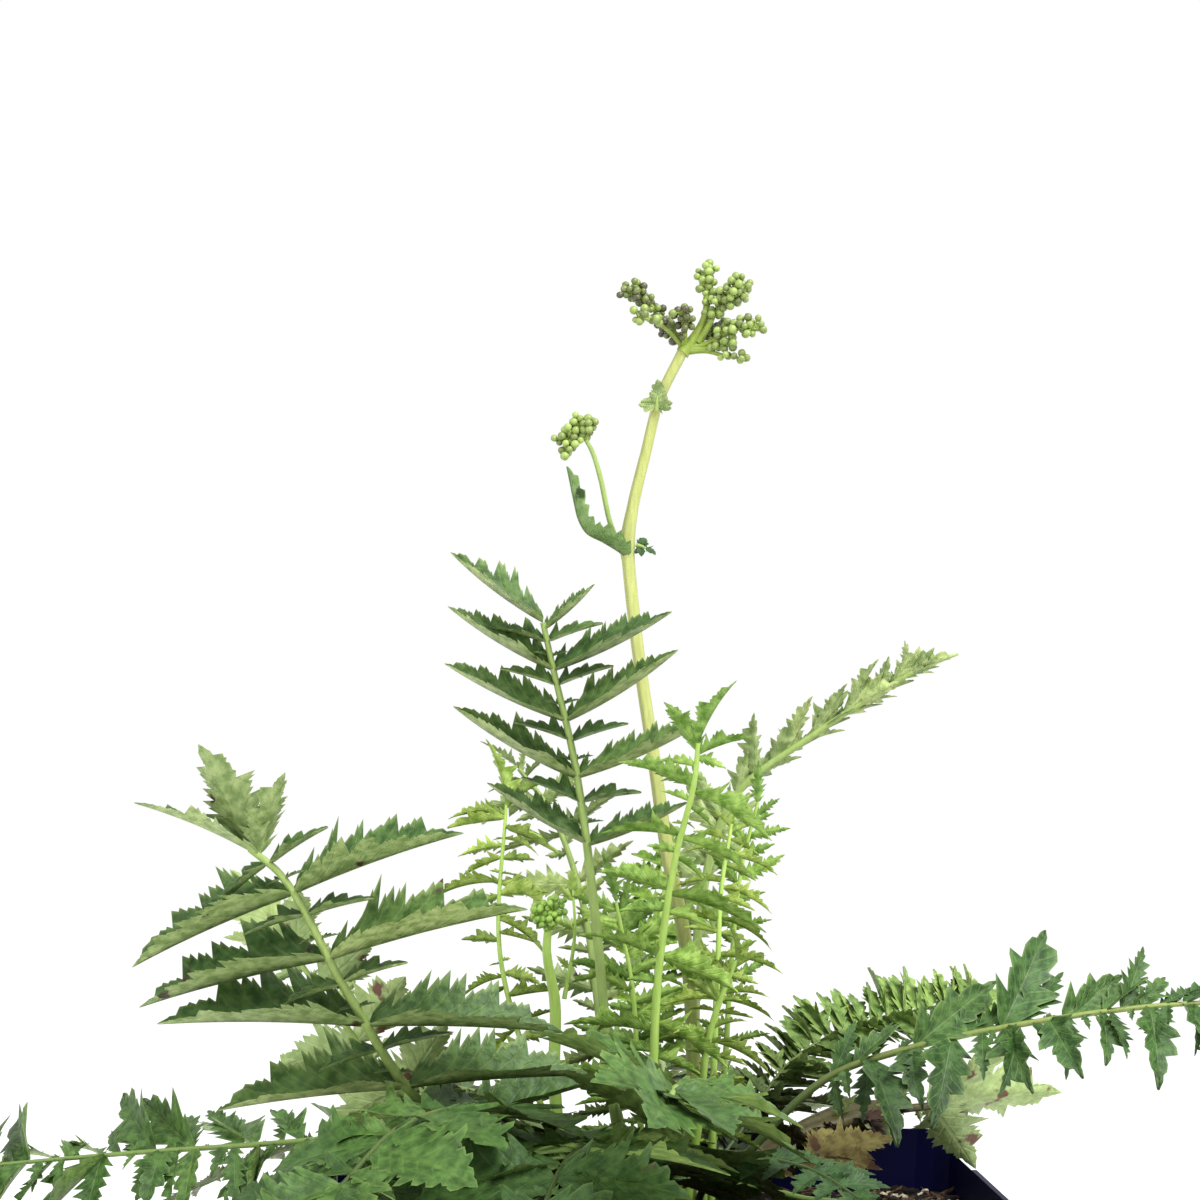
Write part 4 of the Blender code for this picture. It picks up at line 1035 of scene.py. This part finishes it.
# Each ray: the points it passes, its girth at foot and tip, its buds, how far they spread, their age.
heads = {
    "flower_head": dict(
        radius=0.78, seed=3, bud="budWaxy", ray="rayGreen",
        rays=[
            dict(via=[(6.5, 6, 284.8), (6.4, 6, 287.2), (3.9, 5, 289.5), (1, 3, 292.9), (-1, 2, 294.5),
                      (-3.6, 1, 295.3)],
                 girth=(0.95, 0.35), buds=41, reach=2.2, age=0.42),
            dict(via=[(6.6, 6, 286), (4.3, 4, 288.4), (1, 1, 289.8), (-1.4, -1, 290)],
                 girth=(0.6, 0.25), buds=12, reach=1.6, age=0.2),
            dict(via=[(7, 5.5, 286.4), (7, 4, 287.8), (6.9, 3, 290.1), (6.2, 2, 291.6)],
                 girth=(0.7, 0.35), buds=19, reach=2.3, age=0.52),
            dict(via=[(6.6, 6, 284.8), (8.9, 6, 287.8), (10.8, 6, 291.4), (11.4, 6, 296.3), (11.1, 6, 300.4)],
                 girth=(1.5, 0.5), buds=29, reach=2.2, age=0.0, first=0.6),
            dict(via=[(9.6, 6, 287), (11.4, 5, 289.6), (12.8, 5, 292.2), (15.4, 4, 294.8), (17.6, 3, 296.2)],
                 girth=(0.9, 0.3), buds=49, reach=3.0, age=0.16),
            dict(via=[(8, 6, 286), (10.8, 6, 286.4), (14.5, 4, 287.8), (17.5, 2, 288.6), (20, 1, 288.2)],
                 girth=(0.95, 0.28), buds=29, reach=2.1, age=0.2, first=0.5),
            dict(via=[(8, 6, 285.6), (10.8, 6, 285.5), (14.2, 4, 285.6), (16, 3, 285.8)],
                 girth=(0.9, 0.35), buds=12, reach=1.4, age=0.08, first=0.55),
            dict(via=[(8, 6, 285.2), (11, 6, 285.2), (14.4, 4, 283.8), (17.6, 3, 283)],
                 girth=(0.8, 0.28), buds=9, reach=1.2, age=0.08, first=0.7),
            dict(via=[(9, 6.4, 286.6), (12, 9, 289), (14.6, 11, 291)],
                 girth=(0.55, 0.3), buds=20, reach=2.2, age=0.45),
            dict(via=[(7, 6.6, 286.2), (4.6, 9.4, 289), (2.6, 11, 292)],
                 girth=(0.5, 0.3), buds=17, reach=2.2, age=0.6),
        ],
    ),
    "side_head": dict(
        radius=0.8, seed=5, bud="budWaxy", ray="rayGreen", closeness=1.4,
        rays=[
            dict(via=[(-11.7, 0.2, 266.9), (-13, 0, 267.6), (-14.4, 0, 267.6), (-15.6, 0, 266.4)],
                 girth=(0.36, 0.28), buds=24, reach=2.3, age=0.1, first=0.3),
            dict(via=[(-11.7, 0.2, 266.9), (-12.2, 0, 268.4), (-13.2, 0, 269.6)],
                 girth=(0.34, 0.26), buds=12, reach=1.7, age=0.1),
            dict(via=[(-11.7, 0.2, 266.9), (-11.3, 0, 268.4), (-11, 0, 269.6)],
                 girth=(0.34, 0.26), buds=14, reach=1.7, age=0.1),
            dict(via=[(-13, 0, 267.6), (-14.4, -0.4, 265.8), (-15, -0.6, 264.2)],
                 girth=(0.3, 0.2), buds=9, reach=1.4, age=0.1),
        ],
    ),
    "young_head": dict(
        radius=0.66, seed=7, bud="budYoung", ray="stalkYoung",
        rays=[
            dict(via=[(-18.2, -7.6, 176), (-18.4, -7.7, 177.6), (-19.8, -8, 179)],
                 girth=(0.5, 0.3), buds=26, reach=2.3, age=0.2, first=0.2),
            dict(via=[(-18.2, -7.6, 176), (-17.6, -7.4, 178), (-17, -7.4, 179.6)],
                 girth=(0.5, 0.3), buds=26, reach=2.2, age=0.15, first=0.2),
        ],
    ),
}


def headPaths(shape):
    # One line for each ray and each bud's own short stalk, with buds kept from sinking into one another.
    draw = random.Random(shape["seed"])
    lines, girths, budded, tints, taken = [], [], [], [], []
    for ray in shape["rays"]:
        line = smoothLine(ray["via"], 5)
        last = len(line) - 1
        lines.append(line)
        foot, tip = ray["girth"]
        girths += [(foot + (tip - foot) * (i / last) ** 0.6) * mm for i in range(last + 1)]
        budded += [0.0] * (last + 1)
        tints += [0.0] * (last + 1)
        placed = 0
        for _ in range(ray["buds"] * 25):
            if placed == ray["buds"]:
                break
            along = ray.get("first", 0.4) + (1.04 - ray.get("first", 0.4)) * draw.random() ** 0.8
            root = line[min(int(along * last), last)]
            way = Vector([draw.gauss(0, 1) for _ in range(3)]).normalized() + Vector((0, 0, 0.25))
            spot = root + way * ray["reach"] * draw.uniform(0.35, 1.0) * (0.55 + 0.45 * along)
            if any((spot - other).length < shape.get("closeness", 1.5) * shape["radius"] for other in taken):
                continue
            taken.append(spot)
            placed += 1
            lines.append([root, root.lerp(spot, 0.5) + Vector((0, 0, 0.1)), spot])
            girths += [0.26 * mm, 0.2 * mm, 0.2 * mm]
            budded += [0.0, 0.0, 1.0]
            tints += [0.0, 0.0, ray["age"] + draw.uniform(-0.2, 0.3)]
    return pathMesh("head", lines, {"girth": girths, "bud": budded, "tint": tints})


for node, shape in heads.items():
    made = grow(f"{node}_buds", headPaths(shape), flowerHead, {
        "Bud Radius": shape["radius"], "Buds": budGroup, "Bud": finishes[shape["bud"]],
        "Ray": finishes[shape["ray"]], "Seed": shape["seed"],
    })
    dress(made, [node])
sayStage("flower heads")


# The pot: the solid's own shell with its edges rounded as a mould leaves them.

def potMaterial():
    # Injection-moulded polypropylene: deep navy, a soft sheen, scuffs and dust in upright streaks.
    made, tree, shader = newMaterial("polypropyleneMoulded", 0.5, 0.07)
    place = add(tree, "TexCoord", out="Object")
    scuff = add(tree, "TexNoise", {
        "Vector": add(tree, "Mapping", {"Vector": place, "Scale": (1, 1, 0.2)}),
        "Scale": 1 / (4 * mm), "Detail": 6.0,
    })
    dust = add(tree, "MapRange", [scuff, 0.6, 0.75, 0.0, 0.3])
    colour = add(tree, "Mix", {0: dust, 6: fromHex("#010124"), 7: fromHex("#0f1138")},
                 out=2, data_type="RGBA")
    closeMaterial(tree, shader, colour, 0.15, 0.05, scuff)
    return made


finishes["pot"] = potMaterial()
potShell = dict(merge=0.01, flat=1, crease=35, bevel=0.35, steps=2)
bm = bmesh.new()
bm.from_mesh(bpy.data.objects["pot"].data)
bmesh.ops.remove_doubles(bm, verts=bm.verts, dist=potShell["merge"] * mm)
bmesh.ops.dissolve_limit(bm, angle_limit=math.radians(potShell["flat"]), verts=bm.verts, edges=bm.edges)
crease = math.radians(potShell["crease"])
sharp = [e for e in bm.edges if len(e.link_faces) == 2 and e.calc_face_angle(0) > crease]
bmesh.ops.bevel(bm, geom=sharp, offset=potShell["bevel"] * mm, segments=potShell["steps"], affect="EDGES",
                clamp_overlap=True)
dress(stand("pot_moulded", meshFrom("pot_moulded", bm, "pot")), ["pot"])
sayStage("pot")


# Compost: a rough fill with crumbs, bark chips and pale bits scattered on it.

def soilMaterial(name, dark, light, grain):
    # Peat compost: nearly black when damp, with brown fibres.
    made, tree, shader = newMaterial(name, 0.95, 0.2)
    place = add(tree, "TexCoord", out="Object")
    speck = add(tree, "TexNoise", {"Vector": place, "Scale": 1 / (grain * mm), "Detail": 5.0})
    share = add(tree, "MapRange", [speck, 0.4, 0.7, 0.0, 1.0])
    colour = add(tree, "Mix", {0: share, 6: fromHex(dark), 7: fromHex(light)}, out=2, data_type="RGBA")
    closeMaterial(tree, shader, colour, 0.8, 0.3, speck)
    return made


finishes["compost"] = soilMaterial("peatDamp", "#080504", "#1e140e", 1.2)
finishes["bark"] = soilMaterial("barkChipped", "#21160f", "#5e4a38", 0.8)
finishes["perlite"] = soilMaterial("perliteExpanded", "#8e8570", "#c9c2ac", 0.5)


def lumpMesh(name, size, seed, finish):
    draw = random.Random(seed)
    bm = bmesh.new()
    bmesh.ops.create_icosphere(bm, subdivisions=1, radius=1.0)
    for vert in bm.verts:
        vert.co *= draw.uniform(0.75, 1.2)
        vert.co = Vector([vert.co[i] * size[i] * mm for i in range(3)])
    return meshFrom(name, bm, finish)


def scatterTree():
    tree, given = newTree(
        "compostBits", Float="Distance, Density, Size Low, Size High", Int="Seed", Collection="Bits",
    )
    level = add(tree, "InputNormal")
    up = add(tree, "Math.GREATER_THAN", [add(tree, "SeparateXYZ", [level], out=2), 0.5])
    spots = add(tree, "DistributePointsOnFaces", {
        "Mesh": given["Geometry"], "Selection": up, "Distance Min": given["Distance"],
        "Density Max": given["Density"], "Seed": given["Seed"],
    }, distribute_method="POISSON")
    turn = add(tree, "RandomValue", {0: (-0.5, -0.5, 0), 1: (0.5, 0.5, 6.3), "Seed": given["Seed"]},
               data_type="FLOAT_VECTOR")
    size = add(tree, "RandomValue", {2: given["Size Low"], 3: given["Size High"], "Seed": given["Seed"]},
               out=1)
    pick = add(tree, "RandomValue", {4: 0, 5: 9, "Seed": given["Seed"]}, out=2, data_type="INT")
    bits = add(tree, "InstanceOnPoints", {
        "Points": spots, "Instance": add(tree, "CollectionInfo", [given["Bits"], True, True]),
        "Pick Instance": True, "Instance Index": pick, "Rotation": turn, "Scale": size,
    })
    closeTree(tree, add(tree, "RealizeInstances", [bits]))
    return tree


compostBits = scatterTree()
# The fill meets the pot's walls at its top and foot, and is banked a little at the back right corner.
fillShape = dict(
    foot=45.9, corner=8.5, footCorner=6, sides=72, rings=18, sunk=1.0, bump=1.1, bumpSize=7,
    bank=3.2, bankAt=(44, 24), bankReach=(18, 20),
)
low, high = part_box("compost")


def squareReach(angle, half, corner):
    # Distance from the centre to a rounded square's edge.
    c, s = abs(math.cos(angle)), abs(math.sin(angle))
    flat = half / max(c, s)
    inset = half - corner
    x, y = c * flat, s * flat
    if x <= inset or y <= inset:
        return flat
    b = (c + s) * inset
    return b + math.sqrt(max(b * b - (2 * inset * inset - corner * corner), 0.0))


sides, rings = fillShape["sides"], fillShape["rings"]
bankAt, bankReach = fillShape["bankAt"], fillShape["bankReach"]
level = high.z - fillShape["sunk"] * mm
points, faces = [Vector((0, 0, level))], []
for r in range(1, rings + 1):
    for a in range(sides):
        angle = 2 * math.pi * a / sides
        reach = squareReach(angle, high.x, fillShape["corner"] * mm) * r / rings
        spot = Vector((reach * math.cos(angle), reach * math.sin(angle), 0))
        bump = noise.fractal(spot / (fillShape["bumpSize"] * mm), 0.9, 2.1, 4) * fillShape["bump"] * mm
        away = [(spot[i] / mm - bankAt[i]) / bankReach[i] for i in (0, 1)]
        bank = fillShape["bank"] * mm * math.exp(-(away[0] ** 2 + away[1] ** 2))
        points.append(Vector((spot.x, spot.y, level + bump + bank)))
for a in range(sides):
    b = (a + 1) % sides
    faces.append((0, 1 + a, 1 + b))
    for r in range(rings - 1):
        i, j = 1 + r * sides, 1 + (r + 1) * sides
        faces.append((i + a, j + a, j + b, i + b))
under = len(points)
for a in range(sides):
    angle = 2 * math.pi * a / sides
    reach = squareReach(angle, fillShape["foot"] * mm, fillShape["footCorner"] * mm)
    points.append(Vector((reach * math.cos(angle), reach * math.sin(angle), low.z)))
outer = 1 + (rings - 1) * sides
for a in range(sides):
    b = (a + 1) % sides
    faces.append((outer + a, under + a, under + b, outer + b))
faces.append(tuple(under + a for a in reversed(range(sides))))
fill = bpy.data.meshes.new("compost_fill")
fill.from_pydata(points, [], faces)
fill.materials.append(finishes["compost"])
dress(stand("compost_fill", fill), ["compost"])

bits = helperGroup("compostBits", [
    *[lumpMesh(f"crumb{n}", (1.5, 1.3, 1.0), 60 + n, "compost") for n in range(5)],
    *[lumpMesh(f"chip{n}", (3.4, 1.1, 0.5), 70 + n, "bark") for n in range(3)],
    lumpMesh("pale0", (1.0, 0.9, 0.8), 80, "perlite"),
    lumpMesh("twig0", (6.5, 0.5, 0.45), 81, "bark"),
])
loose = grow("compost_bits", fill.copy(), compostBits, {
    "Distance": 1.3 * mm, "Density": 260000.0, "Bits": bits, "Seed": 4, "Size Low": 0.35, "Size High": 1.25,
})
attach(loose, "root")
sayStage("compost")


# The crown: an old woody base, a rough dome in bark colours.

# The seed keeps the roughness the same on every run.
crownShape = dict(reach=0.98, cut=-0.2, height=1.05, rough=0.7, grain=3, seed=6)
noise.seed_set(crownShape["seed"])
bm = bmesh.new()
low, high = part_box("crown")
across = [high.x, high.y]
bmesh.ops.create_uvsphere(bm, u_segments=40, v_segments=20, radius=1.0)
for vert in bm.verts:
    height = max(vert.co.z, crownShape["cut"]) * (high.z - low.z) * crownShape["height"]
    vert.co = Vector((*[vert.co[i] * across[i] * crownShape["reach"] for i in (0, 1)], height))
    vert.co.z += low.z
    vert.co += crownShape["rough"] * mm * noise.noise_vector(vert.co / (crownShape["grain"] * mm))
dress(stand("crown_woody", meshFrom("crown_woody", bm, "bark")), ["crown"])
sayStage("crown")


# Floor, light and camera

def floorMaterial():
    # A plain matt white table top.
    made, tree, shader = newMaterial("paperWhite", 0.9, 0.0)
    shader.inputs["Base Color"].default_value = fromHex("#fdfdfd")
    shader.inputs["Emission Color"].default_value = fromHex("#ffffff")
    shader.inputs["Emission Strength"].default_value = 0.08
    return made


floorMesh = bpy.data.meshes.new("floor")
floorMesh.from_pydata([(-6, -3, 0), (6, -3, 0), (6, 9, 0), (-6, 9, 0)], [], [(0, 1, 2, 3)])
floorMesh.materials.append(floorMaterial())
floor = stand("floor", floorMesh)

world = bpy.data.worlds.new("studio")
scene.world = world
world.use_nodes = True
sky = world.node_tree.nodes["Background"].inputs
sky["Color"].default_value = fromHex("#ffffff")
sky["Strength"].default_value = 1.0

aimPoint = Vector((0, 0, 0.17))
lamps = {
    "key": dict(place=(0.45, -0.5, 0.95), size=0.5, power=20.0),
    "fill": dict(place=(-0.7, -0.6, 0.5), size=0.6, power=5.0),
}
for name, lamp in lamps.items():
    data = bpy.data.lights.new(name, "AREA")
    data.size = lamp["size"]
    data.energy = lamp["power"]
    made = stand(name, data)
    made.location = lamp["place"]
    made.rotation_euler = (aimPoint - made.location).to_track_quat("-Z", "Y").to_euler()

camera = stand("camera", bpy.data.cameras.new("camera"))
camera.data.sensor_width = 36
camera.data.lens = 67.17
camera.data.clip_start = 0.01
camera.data.clip_end = 50
camera.location = (0, -0.4137, 0.187)
camera.rotation_euler = (math.radians(90 + 6.83), 0, math.radians(1.25))
scene.camera = camera

for group in list(helpers.children):
    for helper in list(group.objects):
        bpy.data.objects.remove(helper)
    bpy.data.collections.remove(group)
bpy.data.collections.remove(helpers)
sayStage("stage and camera")
